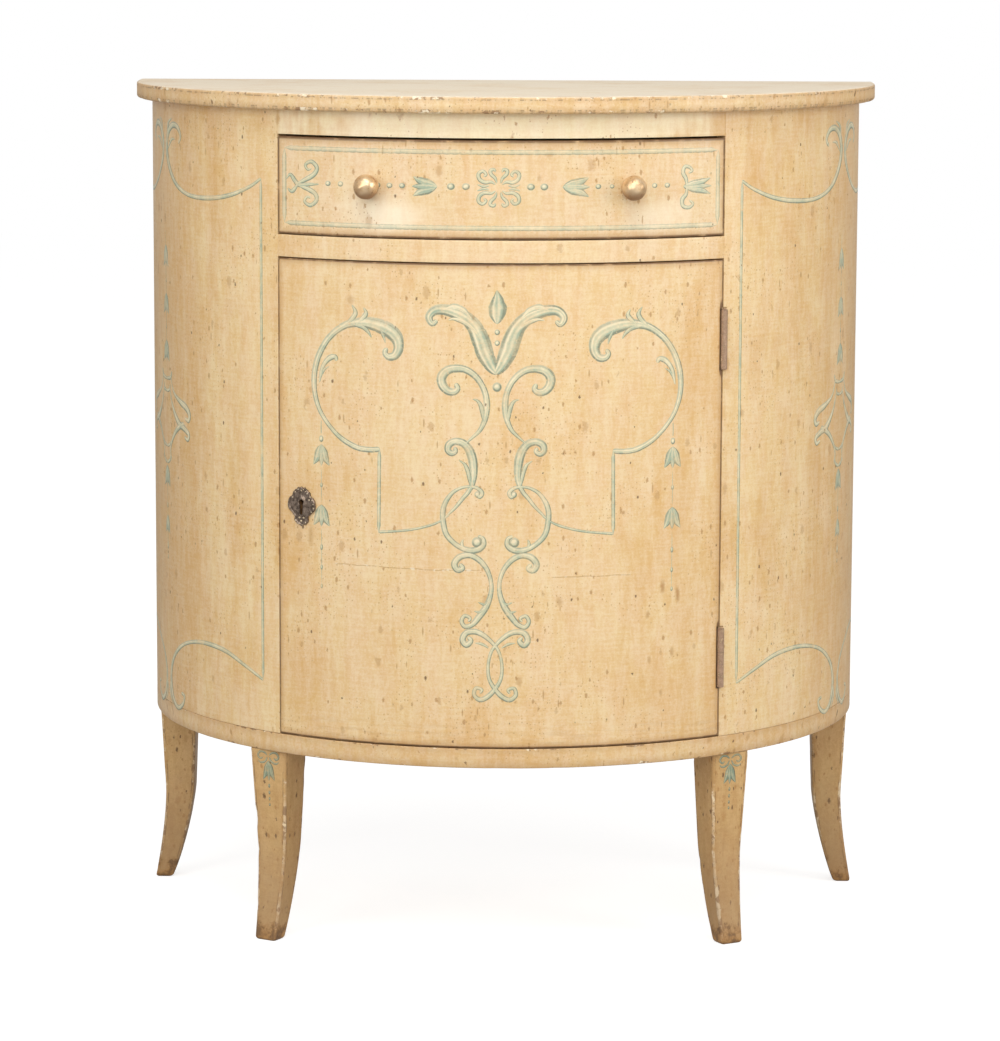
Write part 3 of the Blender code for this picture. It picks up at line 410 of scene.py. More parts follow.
@dataclass(frozen=True)
class AgedPaint:
    """Cream paint that has yellowed, with brush marks, stains, flecks and worn edges."""

    name: str
    cream: Colour = (0.835, 0.615, 0.35)
    ochre: Colour = (0.76, 0.505, 0.225)
    honey: Colour = (0.69, 0.405, 0.145)
    stain: Colour = (0.46, 0.235, 0.075)
    fleck: Colour = (0.15, 0.075, 0.03)
    ground: Colour = (0.9, 0.78, 0.58)
    wood: Colour = (0.3, 0.165, 0.075)
    blush: Colour = (0.82, 0.56, 0.36)
    straw: Colour = (0.82, 0.64, 0.31)
    # pale: the colour of the patches of painted sheen.
    pale: Colour = (0.98, 0.88, 0.69)
    # dust: the pale colour of upward faces, for dust and bleaching and for painted sheen from above.
    dust: Colour = (0.93, 0.825, 0.655)
    # The colour that a leg darkens to towards its foot.
    low_dark: Colour = (0.33, 0.2, 0.105)
    tone: float = 0.45
    hair: float = 0.36
    low_tone: float = 0.0
    bleach_and_sheen: float = 0.0
    planar: bool = False
    marks: tuple[Spots2D, ...] = (
        Spots2D(0.0034, 0.036, 0.38, 0.4, 1.7, 1.1),
        Spots2D(0.0014, 0.015, 0.3, 0.7, 1.8, 1.1),
        Spots2D(0.0008, 0.0135, 0.26, 0.62, 5.0, 0.4),
        Spots2D(0.0006, 0.0042, 0.1, 0.6, 1.2, 1.0, 1.5),
    )
    dark_marks: tuple[Spots2D, ...] = (Spots2D(0.0011, 0.03, 0.32, 0.85, 1.6, 1.1),)
    bands: tuple[Band, ...] = ()
    cracks: tuple[Crack, ...] = ()
    # Pale patches of painted highlight, where a lamp's sheen lies on the face.
    sheen_patches: tuple[Patch, ...] = ()
    blots: tuple[Patch, ...] = ()
    lit: Colour = (0.9, 0.78, 0.58)
    # Width of the dark line of painted gap shade along the edges of a door or drawer.
    gap_shade: float = 0.0
    calm: float = 0.0
    low_streaks: Spot | None = None
    wear: float = 0.5
    dirt_width: float = 0.01
    dirt: float = 0.35
    gloss: float = 0.36
    worn_foot: bool = False
    rub: float = 0.0

    def colour(self, g: Graph, edge: Value) -> tuple[Value, Value]:
        """The paint's colour and how far a spot is pitted.

        Args:
            g: The material's graph.
            edge: The distance to the nearest edge.

        Returns:
            The colour and the depth of pits and chips, from 0 to 1.
        """
        flat = g.unrolled()
        spot = g.position() if self.planar else flat
        skin = g.skin(self.planar)
        mottle = g.noise(spot, 70.0, 4.0, 0.65)
        colour = self._ground(g, flat, spot, mottle)
        crowd = g.noise(spot, 13.0, 3.0, 0.6).ramp(0.3, 0.7) - self.calm
        for mark in self.marks:
            colour = g.blend(mark.cover(g, skin, crowd), colour, self.stain)
        pits: Value | float = 0.0
        for mark in self.dark_marks:
            dark = mark.cover(g, skin, crowd)
            colour = g.blend(dark, colour, self.fleck)
            pits = dark + pits
        for crack in self.cracks:
            colour = self._crack(g, flat, crack, colour)
        colour, pits = self._wear_edges(g, edge, spot, mottle, colour, pits)
        if self.worn_foot:
            height = g.axis(flat, 2) + (mottle - 0.5) * 0.1
            # Darker towards the foot.
            colour = g.blend(height.ramp(0.01, 0.16, 0.55, 0.0), colour, self.low_dark)
            foot = height.ramp(0.004, 0.026, 0.85, 0.0)
            colour = g.blend(foot, colour, g.blend(mottle.ramp(0.35, 0.6), self.fleck, self.stain))
        # Upward faces turn paler: partly dust and bleaching, partly painted sheen from the light above.
        if self.bleach_and_sheen:
            up = g.upward()
            bare = g.noise(spot, 330.0, 4.0, 0.75).ramp(0.3, 0.6, 0.7, 1.0)
            bare = bare * g.noise(spot, 17.0, 5.0, 0.65).ramp(0.3, 0.56, 0.62, 1.0)
            colour = g.blend(up.ramp(0.5, 0.95, 0.0, self.bleach_and_sheen) * bare, colour, self.dust)
        return colour, pits

    def _ground(self, g: Graph, flat: Value, spot: Value, mottle: Value) -> Value:
        """The cream coat: clouds, brushed bands, yellowed stretches, fine brush marks and pale patches of
        painted sheen.

        Args:
            g: The material's graph.
            flat: The place along and up the front, as run, depth and height.
            spot: The place that the marks are drawn by.
            mottle: The small clouds that all layers share.

        Returns:
            The colour of the coat before its marks and wear.
        """
        cloud = g.noise(spot, 8.0, 4.0, 0.55)
        bands = g.noise(g.stretch(spot, (1, 1, 0.14)), 34.0, 4.0, 0.6)
        strokes = g.noise(g.stretch(spot, (1, 1, 0.22)), 150.0, 4.0, 0.65, 0.4)
        sweep = g.noise(g.stretch(spot, (0.12, 1, 1)), 300.0, 3.0, 0.7)
        speck = g.noise(spot, 520.0, 3.0, 0.75)
        lean = (cloud - 0.5) * 1.8 + (bands - 0.5) * 1.5 + (mottle - 0.5) * 0.9 + self.tone
        for band in self.bands:
            lean = lean + band.cover(g.axis(flat, 0)) * (bands * 1.6)
        if self.low_tone:
            lean = lean + g.axis(flat, 2).ramp(0.22, 0.42, self.low_tone, 0.0)
        colour = g.blend(lean.ramp(0.0, 1.0), self.cream, self.ochre)
        hue = g.noise(g.stretch(spot, (1, 1, 0.5)), 38.0, 3.0, 0.6)
        colour = g.blend(0.28, colour, g.blend(hue.ramp(0.36, 0.64), self.blush, self.straw))
        amber = (lean * 0.5 + bands * 0.35 + cloud * 0.25).ramp(0.52, 1.05, 0.0, 0.75)
        colour = g.blend(amber, colour, self.honey)
        if self.low_streaks:
            low, high = self.low_streaks
            drawn = g.noise(g.stretch(flat, (0.1, 1, 1)), 240.0, 3.0, 0.7).ramp(0.45, 0.66)
            colour = g.blend(drawn * g.axis(flat, 2).ramp(low, high, 0.34, 0.0), colour, self.stain)
        grain = ((strokes - 0.5) * 0.9 + (sweep - 0.5) * 0.6 + (speck - 0.5) * 0.8).ramp(-0.3, 0.3)
        colour = g.blend(self.hair, colour, g.blend(grain, self.honey, self.lit))
        # Painted highlight: pale patches where a lamp's sheen lies on the face.
        for patch in self.sheen_patches:
            colour = g.blend(patch.cover(g, flat), colour, self.pale)
        for blot in self.blots:
            colour = g.blend(blot.cover(g, flat), colour, self.stain)
        return colour

    def _crack(self, g: Graph, flat: Value, crack: Crack, colour: Value) -> Value:
        """Draws a hairline with small white chips along it.

        Args:
            g: The material's graph.
            flat: The place, as run, depth and height.
            crack: The hairline.
            colour: The colour under it.

        Returns:
            The colour with the hairline.
        """
        run, height = g.axis(flat, 0), g.axis(flat, 2)
        wander = (g.noise(g.stretch(flat, (1, 1, 0.0)), 26.0, 3.0, 0.6) - 0.5) * 0.006
        off = abs(height + wander - crack.height)
        inside = run.ramp(crack.start - 0.004, crack.start) * run.ramp(crack.end, crack.end + 0.004, 1.0, 0.0)
        broken = g.noise(flat, 210.0, 3.0, 0.6)
        line = off.ramp(0.0002, 0.0007, 0.55, 0.0) * inside * broken.ramp(0.3, 0.45)
        colour = g.blend(line, colour, self.stain)
        chips = off.ramp(0.0006, 0.0016, 1.0, 0.0) * inside * broken.ramp(0.54, 0.6) * crack.white
        return g.blend(chips, colour, (0.93, 0.86, 0.72))

    def _wear_edges(
        self, g: Graph, edge: Value, flat: Value, mottle: Value, colour: Value, pits: Value
    ) -> tuple[Value, Value]:
        """Lays dirt in a band along the edges, paints the shade of a gap along them where it is asked for,
        and chips the arris to the ground and the wood.

        Args:
            g: The material's graph.
            edge: The distance to the nearest edge.
            flat: The place that the marks are drawn by.
            mottle: The small clouds that all layers share.
            colour: The colour under the wear.
            pits: How far the marks are pitted.

        Returns:
            The worn colour and the depth of pits and chips.
        """
        soil = edge.ramp(0.0, self.dirt_width, self.dirt, 0.0) * (0.35 + mottle)
        colour = g.blend(soil, colour, self.stain)
        # Painted shade: a dark line at the edge stands for the shade in the gap, with a soft painted shadow
        # beside it.
        if self.gap_shade:
            line = edge.ramp(self.gap_shade * 0.45, self.gap_shade * 1.15, 0.88, 0.0)
            soft = edge.ramp(0.0, self.gap_shade * 3.5, 0.3, 0.0)
            line = line * (mottle + 0.6).ramp(0.8, 1.1)
            colour = g.blend(line, g.blend(soft, colour, self.stain), self.fleck)
        rough = g.noise(flat, 130.0, 4.0, 0.65)
        patch = g.noise(flat, 21.0, 2.0, 0.5)
        if self.rub:
            broken = g.noise(g.stretch(flat, (1, 1, 0.3)), 190.0, 3.0, 0.65)
            beside = edge.ramp(0.0005, 0.0009) * edge.ramp(0.0013, 0.0021, 1.0, 0.0)
            colour = g.blend(beside * broken.ramp(0.49, 0.57, 0.0, self.rub), colour, self.fleck)
            bright = (patch * 0.6 + rough * 0.4).ramp(0.44, 0.57, 0.0, 0.9)
            bright = edge.ramp(0.0004, 0.0007, 1.0, 0.0) * bright * self.rub
            colour = g.blend(bright, colour, self.ground)
        level = rough * 0.6 + patch * 0.4 - edge * 90.0 + (self.wear - 1) * 0.1
        chip = level.ramp(0.555, 0.6)
        bare = g.noise(flat, 60.0, 3.0, 0.6).ramp(0.44, 0.5)
        colour = g.blend(chip * 0.85, colour, g.blend(bare, self.ground, self.wood))
        return colour, pits.highest(chip * 0.7)

    def surface(self, g: Graph, colour: Value, pits: Value) -> bpy.types.Material:
        """Joins colour, gloss and relief.

        Args:
            g: The material's graph.
            colour: The paint's colour.
            pits: The depth of pits and chips.

        Returns:
            The material.
        """
        spot = g.position() if self.planar else g.unrolled()
        hair = g.noise(g.stretch(spot, (1, 1, 0.04)), 600.0, 2.0, 0.6)
        ripple = g.noise(g.stretch(spot, (1, 1, 0.6)), 120.0, 3.0, 0.5)
        rough = self.gloss + (ripple - 0.5) * 0.16 + pits * 0.3
        relief = hair * 0.1 + ripple * 0.3 - pits * 0.6
        normal = g.bump(relief, 0.00022)
        return g.finish(g.principled(base_color=colour, roughness=rough, normal=normal))

    def material(self) -> bpy.types.Material:
        """Mixes the paint for a piece whose mesh stores its distance to the nearest edge.

        Returns:
            The material.
        """
        g = Graph(self.name)
        colour, pits = self.colour(g, g.attribute(EDGE_NAME))
        return self.surface(g, colour, pits)


@dataclass(frozen=True)
class ScrollPaint:
    """Thin brushwork: a pale body lined in grey green along both edges and lit from the upper left."""

    name: str
    ground: AgedPaint
    light: Colour = (0.84, 0.765, 0.54)
    pale: Colour = (0.615, 0.61, 0.425)
    green: Colour = (0.295, 0.42, 0.325)
    line: Colour = (0.165, 0.225, 0.17)
    strength: float = 0.88

    def material(self) -> bpy.types.Material:
        """Mixes the brushwork over the paint that it lies on.

        Returns:
            The material.
        """
        g = Graph(self.name)
        flat = g.unrolled()
        paint, pits = self.ground.colour(g, g.attribute(EDGE_NAME))
        shade, side = g.attribute(SHADE_NAME), g.attribute(ACROSS_NAME)
        across = abs(side)
        drag = (g.noise(flat, 420.0, 3.0, 0.6) - 0.5) * 0.7
        veins = (side * 10.0).sine() * g.attribute(RIBS_NAME) * 0.35
        load = (g.noise(flat, 75.0, 3.0, 0.6) - 0.5) * 1.7
        tone = shade + drag + veins + load
        colour = g.blend(tone.ramp(-0.45, 0.2), self.light, self.pale)
        colour = g.blend(tone.ramp(0.1, 0.85, 0.0, 0.95), colour, self.green)
        outline = (across + drag * 0.12).ramp(0.44, 0.66) * tone.ramp(-0.8, 0.5, 0.45, 1.0)
        colour = g.blend(outline, colour, self.line)
        thin = g.noise(flat, 55.0, 4.0, 0.6).ramp(0.25, 0.55, 0.55, 1.0)
        worn = g.noise(flat, 330.0, 3.0, 0.7).ramp(0.3, 0.46, 0.45, 1.0)
        cover = across.ramp(0.86, 1.0, 1.0, 0.0) * thin * worn * (1 - pits) * self.strength
        return self.ground.surface(g, g.blend(cover, paint, colour), pits)


@dataclass(frozen=True)
class BareWood:
    """Unpainted softwood that has darkened, with growth rings drawn along one axis."""

    name: str
    light: Colour = (0.52, 0.33, 0.165)
    dark: Colour = (0.3, 0.165, 0.075)
    grey: Colour = (0.26, 0.2, 0.14)
    along: Triple = (1.0, 1.0, 0.05)
    rings: float = 70.0
    gloss: float = 0.62

    def material(self) -> bpy.types.Material:
        """Grows the rings and the pores, and greys them.

        Returns:
            The material.
        """
        g = Graph(self.name)
        spot = g.position()
        drawn = g.stretch(spot, self.along)
        wander = g.noise(drawn, 11.0, 4.0, 0.55)
        across = g.axis(drawn, 0) + g.axis(drawn, 1) + g.axis(drawn, 2)
        rings = (across * self.rings * 2.6 + wander * 34.0).sine()
        pores = g.noise(drawn, 900.0, 3.0, 0.7)
        season = g.noise(drawn, 38.0, 3.0, 0.6).ramp(0.3, 0.66, 0.1, 0.6)
        colour = g.blend(rings.ramp(-0.4, 1.0) * season, self.light, self.dark)
        colour = g.blend(pores.ramp(0.52, 0.66, 0.0, 0.5), colour, self.dark)
        dust = g.noise(spot, 11.0, 4.0, 0.6)
        colour = g.blend(dust.ramp(0.45, 0.75, 0.0, 0.5), colour, self.grey)
        relief = rings * 0.25 + pores * 0.5
        rough = self.gloss + (pores - 0.5) * 0.2
        return g.finish(g.principled(base_color=colour, roughness=rough, normal=g.bump(relief, 0.0003)))


@dataclass(frozen=True)
class AgedMetal:
    """Metal with a patina in its hollows and bright wear on its high spots."""

    name: str
    bright: Colour
    dull: Colour
    crust: Colour
    scale: float = 300.0
    crust_share: float = 0.4
    metallic: float = 0.9
    smooth: float = 0.35
    relief: float = 0.00025
    # How far faces that point down are darkened: painted shade in the patina's colour.
    underside_shade: float = 0.0

    def material(self) -> bpy.types.Material:
        """Wears the metal's high spots, darkens its hollows and, where asked, paints shade on faces that
        point down.

        Returns:
            The material.
        """
        g = Graph(self.name)
        spot = g.position()
        broad = g.noise(spot, self.scale, 4.0, 0.6)
        fine = g.noise(spot, self.scale * 5.0, 3.0, 0.6)
        colour = g.blend(broad.ramp(0.35, 0.62), self.bright, self.dull)
        spread = self.crust_share * 0.3
        crust = (broad * 0.6 + fine * 0.4).ramp(0.62 - spread, 0.78 - spread)
        colour = g.blend(crust, colour, self.crust)
        # Painted shade: faces that point down darken towards the patina's colour.
        if self.underside_shade:
            low = (g.upward() + (broad - 0.5) * 0.5).ramp(-0.85, 0.15, self.underside_shade, 0.0)
            colour = g.blend(low, colour, self.crust)
            crust = crust.highest(low * 0.6)
        metallic = self.metallic * (1 - crust * 0.8)
        rough = self.smooth + crust * 0.4 + (fine - 0.5) * 0.2
        return g.finish(g.principled(
            base_color=colour, metallic=metallic, roughness=rough, normal=g.bump(fine + broad, self.relief)
        ))


class Paint(Enum):
    """The painted surfaces, each with the wear that it shows."""

    # Painted light: a much lighter cream paints the sheen on the top rail and lifts the shade under the top's
    # overhang.
    HEAD_SHEEN = AgedPaint(
        "head_sheen_paint", cream=(1.0, 0.905, 0.655), ochre=(0.76, 0.52, 0.24), tone=-0.04, hair=0.26, dirt=0.0,
        wear=0.1, calm=0.22, bands=(Band(-0.12, -0.21, 1.6), Band(0.13, 0.21, 1.2)),
    )
    # Painted light: a lighter copy of the cream paints the sheen on the middle rail.
    FRONT_SHEEN = AgedPaint(
        "front_sheen_paint", cream=(0.84, 0.63, 0.375), ochre=(0.77, 0.525, 0.25), tone=0.25, dirt=0.0, wear=0.1,
        calm=0.15, bands=(Band(-0.13, -0.21, 1.1), Band(0.12, 0.222, 0.55)),
    )
    DOOR = AgedPaint(
        "door_paint", cream=(0.83, 0.61, 0.338), tone=0.32, low_tone=0.35, low_streaks=(0.222, 0.25),
        # Painted shade in the gap round the door.
        gap_shade=0.002,
        bands=(Band(-0.155, -0.185, 0.6), Band(0.08, 0.2, 0.4), Band(0.195, 0.232, 0.45)),
        cracks=(Crack(-0.165, -0.02, 0.393), Crack(0.055, 0.13, 0.386, 0.2)),
        blots=(
            Patch(0.167, 0.372, 0.0036, 0.0085, 0.75), Patch(0.184, 0.363, 0.0032, 0.0105, 0.8),
            Patch(0.151, 0.345, 0.0028, 0.005, 0.6), Patch(0.178, 0.306, 0.003, 0.006, 0.55),
            Patch(0.153, 0.3, 0.0024, 0.005, 0.5), Patch(0.166, 0.266, 0.0024, 0.0045, 0.5),
            Patch(-0.15, 0.655, 0.006, 0.006, 0.4), Patch(0.06, 0.362, 0.0045, 0.006, 0.45),
            Patch(-0.196, 0.42, 0.0045, 0.015, 0.4), Patch(0.124, 0.448, 0.003, 0.003, 0.7),
        ),
    )
    DRAWER = AgedPaint(
        # Painted shade in the gap round the drawer, along its edges.
        "drawer_paint", cream=(0.765, 0.567, 0.335), tone=0.22, gap_shade=0.0026, calm=0.15,
        bands=(Band(-0.19, -0.23, 0.35),),
        # Two patches of painted sheen on the drawer front, one under each knob.
        sheen_patches=(Patch(-0.112, 0.739, 0.06, 0.024, 0.62), Patch(0.16, 0.738, 0.048, 0.022, 0.42)),
        blots=(Patch(0.048, 0.8, 0.005, 0.006, 0.45), Patch(0.038, 0.776, 0.003, 0.004, 0.4)),
    )
    SIDE = AgedPaint(
        "side_paint", cream=(0.87, 0.635, 0.325), ochre=(0.7, 0.405, 0.122), tone=0.31, dirt=0.06, wear=0.3,
        bands=(Band(-0.24, -0.46, 1.05), Band(0.29, 0.52, 1.25)),
    )
    # The top's upper face is paled by dust and bleaching and by painted sheen.
    TOP = AgedPaint(
        "top_paint", cream=(0.78, 0.575, 0.32), ochre=(0.62, 0.375, 0.13), ground=(0.93, 0.82, 0.62),
        tone=0.25, wear=1.75, rub=0.5, dirt_width=0.006, planar=True, bleach_and_sheen=0.9, gloss=0.46,
        bands=(Band(-0.28, -0.5, 1.7), Band(0.28, 0.52, 1.4)),
    )
    BASE = AgedPaint(
        "base_paint", cream=(0.735, 0.5, 0.245), ochre=(0.6, 0.355, 0.125), tone=0.55, wear=1.3,
        dirt_width=0.006, planar=True, bands=(Band(0.26, 0.5, 1.2),),
    )
    LEG = AgedPaint(
        "leg_paint", cream=(0.685, 0.435, 0.185), ochre=(0.56, 0.325, 0.115), honey=(0.45, 0.235, 0.08),
        blush=(0.57, 0.335, 0.155), straw=(0.55, 0.36, 0.135), lit=(0.74, 0.52, 0.26),
        ground=(0.9, 0.74, 0.5), tone=0.48, wear=1.7, dirt_width=0.004, worn_foot=True, calm=-0.15,
        rub=0.65,
        marks=(
            Spots2D(0.0028, 0.026, 0.45, 0.4, 1.7, 1.1), Spots2D(0.0013, 0.0105, 0.52, 0.8, 1.7, 1.1),
            Spots2D(0.0006, 0.005, 0.16, 0.6, 1.4, 1.0, 1.2),
        ),
        dark_marks=(Spots2D(0.0014, 0.015, 0.56, 0.85, 2.0, 1.1),),
    )


class Metal(Enum):
    """The metals of the fittings."""

    # The knobs' gilt, with painted shade on its underside.
    GILT = AgedMetal(
        "worn_gilt", (0.86, 0.66, 0.42), (0.68, 0.45, 0.24), (0.28, 0.15, 0.075),
        scale=90.0, crust_share=0.3, metallic=0.75, smooth=0.38, relief=0.00008, underside_shade=0.85,
    )
    BRONZE = AgedMetal(
        "dark_bronze", (0.34, 0.26, 0.205), (0.165, 0.12, 0.088), (0.05, 0.034, 0.024),
        metallic=0.85, smooth=0.3, relief=0.0001,
    )
    BLACK = AgedMetal(
        "black_iron", (0.06, 0.05, 0.04), (0.035, 0.028, 0.022), (0.05, 0.035, 0.025), metallic=0.5,
        smooth=0.6,
    )
    BEAD = AgedMetal(
        "pale_bead", (0.86, 0.74, 0.54), (0.6, 0.46, 0.29), (0.16, 0.11, 0.07),
        scale=500.0, crust_share=0.2, metallic=0.3,
    )
    IRON = AgedMetal(
        "hinge_iron", (0.47, 0.31, 0.21), (0.31, 0.19, 0.12), (0.6, 0.44, 0.27),
        scale=200.0, metallic=0.3, smooth=0.45,
    )
    BRASS = AgedMetal(
        "dull_brass", (0.62, 0.45, 0.2), (0.42, 0.28, 0.11), (0.16, 0.1, 0.05), crust_share=0.3,
        metallic=0.95,
    )


class Wood(Enum):
    """Bare wood, named by the way its grain runs."""

    UPRIGHT = BareWood("upright_pine")
    ACROSS = BareWood("cross_pine", along=(0.05, 1.0, 1.0))
    DEEP = BareWood("deep_pine", along=(1.0, 0.05, 1.0))


class Finishes:
    """Makes each material once and hands it out again."""

    def __init__(self) -> None:
        """Starts with no materials made."""
        self.made: dict[str, bpy.types.Material] = {}

    def get(self, choice: Enum | ScrollPaint) -> bpy.types.Material:
        """Looks a material up, and makes it the first time.

        Args:
            choice: The finish, or a scroll paint's recipe.

        Returns:
            The material.
        """
        recipe = choice.value if isinstance(choice, Enum) else choice
        if recipe.name not in self.made:
            self.made[recipe.name] = recipe.material()
        return self.made[recipe.name]


FINISHES = Finishes()


def stand(name: str, data: bpy.types.ID) -> bpy.types.Object:
    """Sets a mesh, a lamp or a camera in the scene.

    Args:
        name: The object's name.
        data: What it is made of.

    Returns:
        The object.
    """
    thing = bpy.data.objects.new(name, data)
    bpy.context.scene.collection.objects.link(thing)
    return thing


def around(count: int) -> list[Spot]:
    """The ways out from a middle to evenly spread places on a circle."""
    turns = [2 * math.pi * i / count for i in range(count)]
    return [(math.cos(turn), math.sin(turn)) for turn in turns]


@dataclass
class Draft:
    """A mesh in the making: its points, its faces and the numbers stored on its points."""

    points: list[Vector] = field(default_factory=list)
    faces: list[tuple[int, ...]] = field(default_factory=list)
    numbers: dict[str, list[float]] = field(default_factory=dict)

    def add(self, point: Vector, **numbers: float) -> int:
        """Adds a point.

        Args:
            point: Its place.
            **numbers: The numbers stored on it.

        Returns:
            Its place in the list.
        """
        self.points.append(point)
        for name, number in numbers.items():
            self.numbers.setdefault(name, []).append(number)
        return len(self.points) - 1

    def bridge(self, lower: Sequence[int], upper: Sequence[int], closed: bool = True) -> None:
        """Joins two rings of points, or two open rows, with four-sided faces.

        Args:
            lower: The first ring.
            upper: The next ring, with as many points.
            closed: Whether they are rings.
        """
        count = len(lower)
        for i in range(count if closed else count - 1):
            j = (i + 1) % count
            self.faces.append((lower[i], lower[j], upper[j], upper[i]))

    def loft(self, rings: Sequence[Sequence[int]]) -> None:
        """Joins rings of points, each to the next."""
        for lower, upper in zip(rings, rings[1:]):
            self.bridge(lower, upper)

    def fan(self, tip: int, ring: Sequence[int]) -> None:
        """Joins a ring of points to one point."""
        self.faces += [(tip, near, far) for near, far in zip(ring, [*ring[1:], ring[0]])]

    def object(self, name: str, finish: Enum | ScrollPaint, sharp: float = SHARP_DEGREES) -> bpy.types.Object:
        """Makes the object, facing out and shaded smooth except at its real edges.

        Args:
            name: The piece's name.
            finish: Its finish.
            sharp: The turn in degrees from which an edge is real.

        Returns:
            The object.
        """
        mesh = bpy.data.meshes.new(name)
        mesh.from_pydata([tuple(point) for point in self.points], [], self.faces)
        for label, numbers in self.numbers.items():
            mesh.attributes.new(label, "FLOAT", "POINT").data.foreach_set("value", numbers)
        shape = bmesh.new()
        shape.from_mesh(mesh)
        bmesh.ops.recalc_face_normals(shape, faces=shape.faces)
        shape.to_mesh(mesh)
        shape.free()
        mesh.shade_smooth()
        mesh.set_sharp_from_angle(angle=math.radians(sharp))
        mesh.materials.append(FINISHES.get(finish))
        return stand(name, mesh)


def stations(low: float, high: float, edge: float, step: float) -> list[float]:
    """Places along one side of a board, close together where its edge is rounded.

    Args:
        low: The start of the side.
        high: Its end.
        edge: The radius of the rounding.
        step: The spacing in the middle.

    Returns:
        The places in order.
    """
    fine = [0.0, edge * 0.2, edge * 0.5, edge]
    fine += [reach for reach in (0.003, 0.006, 0.012) if edge * 1.5 < reach < (high - low) * 0.4]
    first, last = low + fine[-1], high - fine[-1]
    count = max(1, round((last - first) / step))
    middle = [first + (last - first) * i / count for i in range(1, count)]
    return [low + d for d in fine] + middle + [high - d for d in reversed(fine)]


def rounded_board(
    name: str, finish: Enum, spans: tuple[Spot, Spot, Spot], edge: float, steps: Triple
) -> bpy.types.Object:
    """A board bent to the body, with softened edges, that stores its distance to the nearest edge.

    Args:
        name: The piece's name.
        finish: Its finish.
        spans: The low and high ends along run, depth and height.
        edge: The radius of its edges.
        steps: The mesh's spacing in each direction.

    Returns:
        The object.
    """
    lines = [stations(low, high, edge, step) for (low, high), step in zip(spans, steps)]
    counts = [len(line) - 1 for line in lines]
    draft = Draft()
    known: dict[tuple[int, int, int], int] = {}

    def corner(key: tuple[int, int, int]) -> int:
        """The number of the point with these three indices."""
        if key not in known:
            raw = [lines[axis][key[axis]] for axis in range(3)]
            held = [min(max(raw[a], spans[a][0] + edge), spans[a][1] - edge) for a in range(3)]
            push = Vector([raw[a] - held[a] for a in range(3)])
            spot = Vector(held) + push.normalized() * edge
            reach = sorted(min(raw[a] - spans[a][0], spans[a][1] - raw[a]) for a in range(3))
            known[key] = draft.add(bent_place(*spot), **{EDGE_NAME: reach[1]})
        return known[key]

    for axis in range(3):
        u, v = (axis + 1) % 3, (axis + 2) % 3
        for end in (0, counts[axis]):
            for i in range(counts[u]):
                for j in range(counts[v]):
                    keys = []
                    for di, dj in ((0, 0), (1, 0), (1, 1), (0, 1)):
                        key = [0, 0, 0]
                        key[axis], key[u], key[v] = end, i + di, j + dj
                        keys.append(corner(tuple(key)))
                    draft.faces.append(tuple(keys))
    return draft.object(name, finish)


def bent_place(run: float, depth: float, height: float) -> Vector:
    """A point of a board bent to the body, with the slight unevenness of a hand-planed face."""
    return PLAN.wrap(run, depth - PLAN.wave(run, height), height)


def cutter(shape: bmesh.types.BMesh, place: Matrix) -> bpy.types.Object:
    """Turns a closed shape into an object that a recess is cut with.

    Args:
        shape: The shape, which is used up.
        place: Where it stands.

    Returns:
        The cutter.
    """
    mesh = bpy.data.meshes.new("cutter")
    shape.to_mesh(mesh)
    shape.free()
    mesh.transform(place)
    return stand("cutter", mesh)


def block(size: Triple, place: Matrix) -> bpy.types.Object:
    """A block to cut with, centred on its place.

    Args:
        size: The full size along X, Y and Z.
        place: Where it stands.

    Returns:
        The cutter.
    """
    shape = bmesh.new()
    bmesh.ops.create_cube(shape, size=1, matrix=Matrix.Diagonal((*size, 1)))
    return cutter(shape, place)


def rod(radius: float, length: float, place: Matrix, sides: int = 32) -> bpy.types.Object:
    """A rod along Z to cut with, centred on its place.

    Args:
        radius: Its radius.
        length: Its length.
        place: Where it stands.
        sides: The number of its sides.

    Returns:
        The cutter.
    """
    shape = bmesh.new()
    bmesh.ops.create_cone(shape, cap_ends=True, segments=sides, radius1=radius, radius2=radius, depth=length)
    return cutter(shape, place)


def carve(piece: bpy.types.Object, cutters: Sequence[bpy.types.Object]) -> None:
    """Cuts recesses into a piece and clears the cutters away.

    Args:
        piece: The piece.
        cutters: What is cut out of it.
    """
    for tool in cutters:
        modifier = piece.modifiers.new("recess", "BOOLEAN")
        modifier.solver = "EXACT"
        modifier.object = tool
    bpy.context.view_layer.update()
    carved = bpy.data.meshes.new_from_object(piece.evaluated_get(bpy.context.evaluated_depsgraph_get()))
    piece.modifiers.clear()
    old = piece.data
    piece.data = carved
    bpy.data.meshes.remove(old)
    for tool in cutters:
        bpy.data.meshes.remove(tool.data)
    carved.set_sharp_from_angle(angle=math.radians(SHARP_DEGREES))


def settle(piece: bpy.types.Object, body: str, slot: str, *nodes: str) -> None:
    """Makes a piece ride on a body and stand for the nodes that it replaces.

    Args:
        piece: The piece.
        body: The body.
        slot: The record's material slot; not used.
        *nodes: The nodes, if any.
    """
    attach(piece, body)
    if nodes:
        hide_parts(*nodes)
    LOG.info("%s rides on %s", piece.name, body)


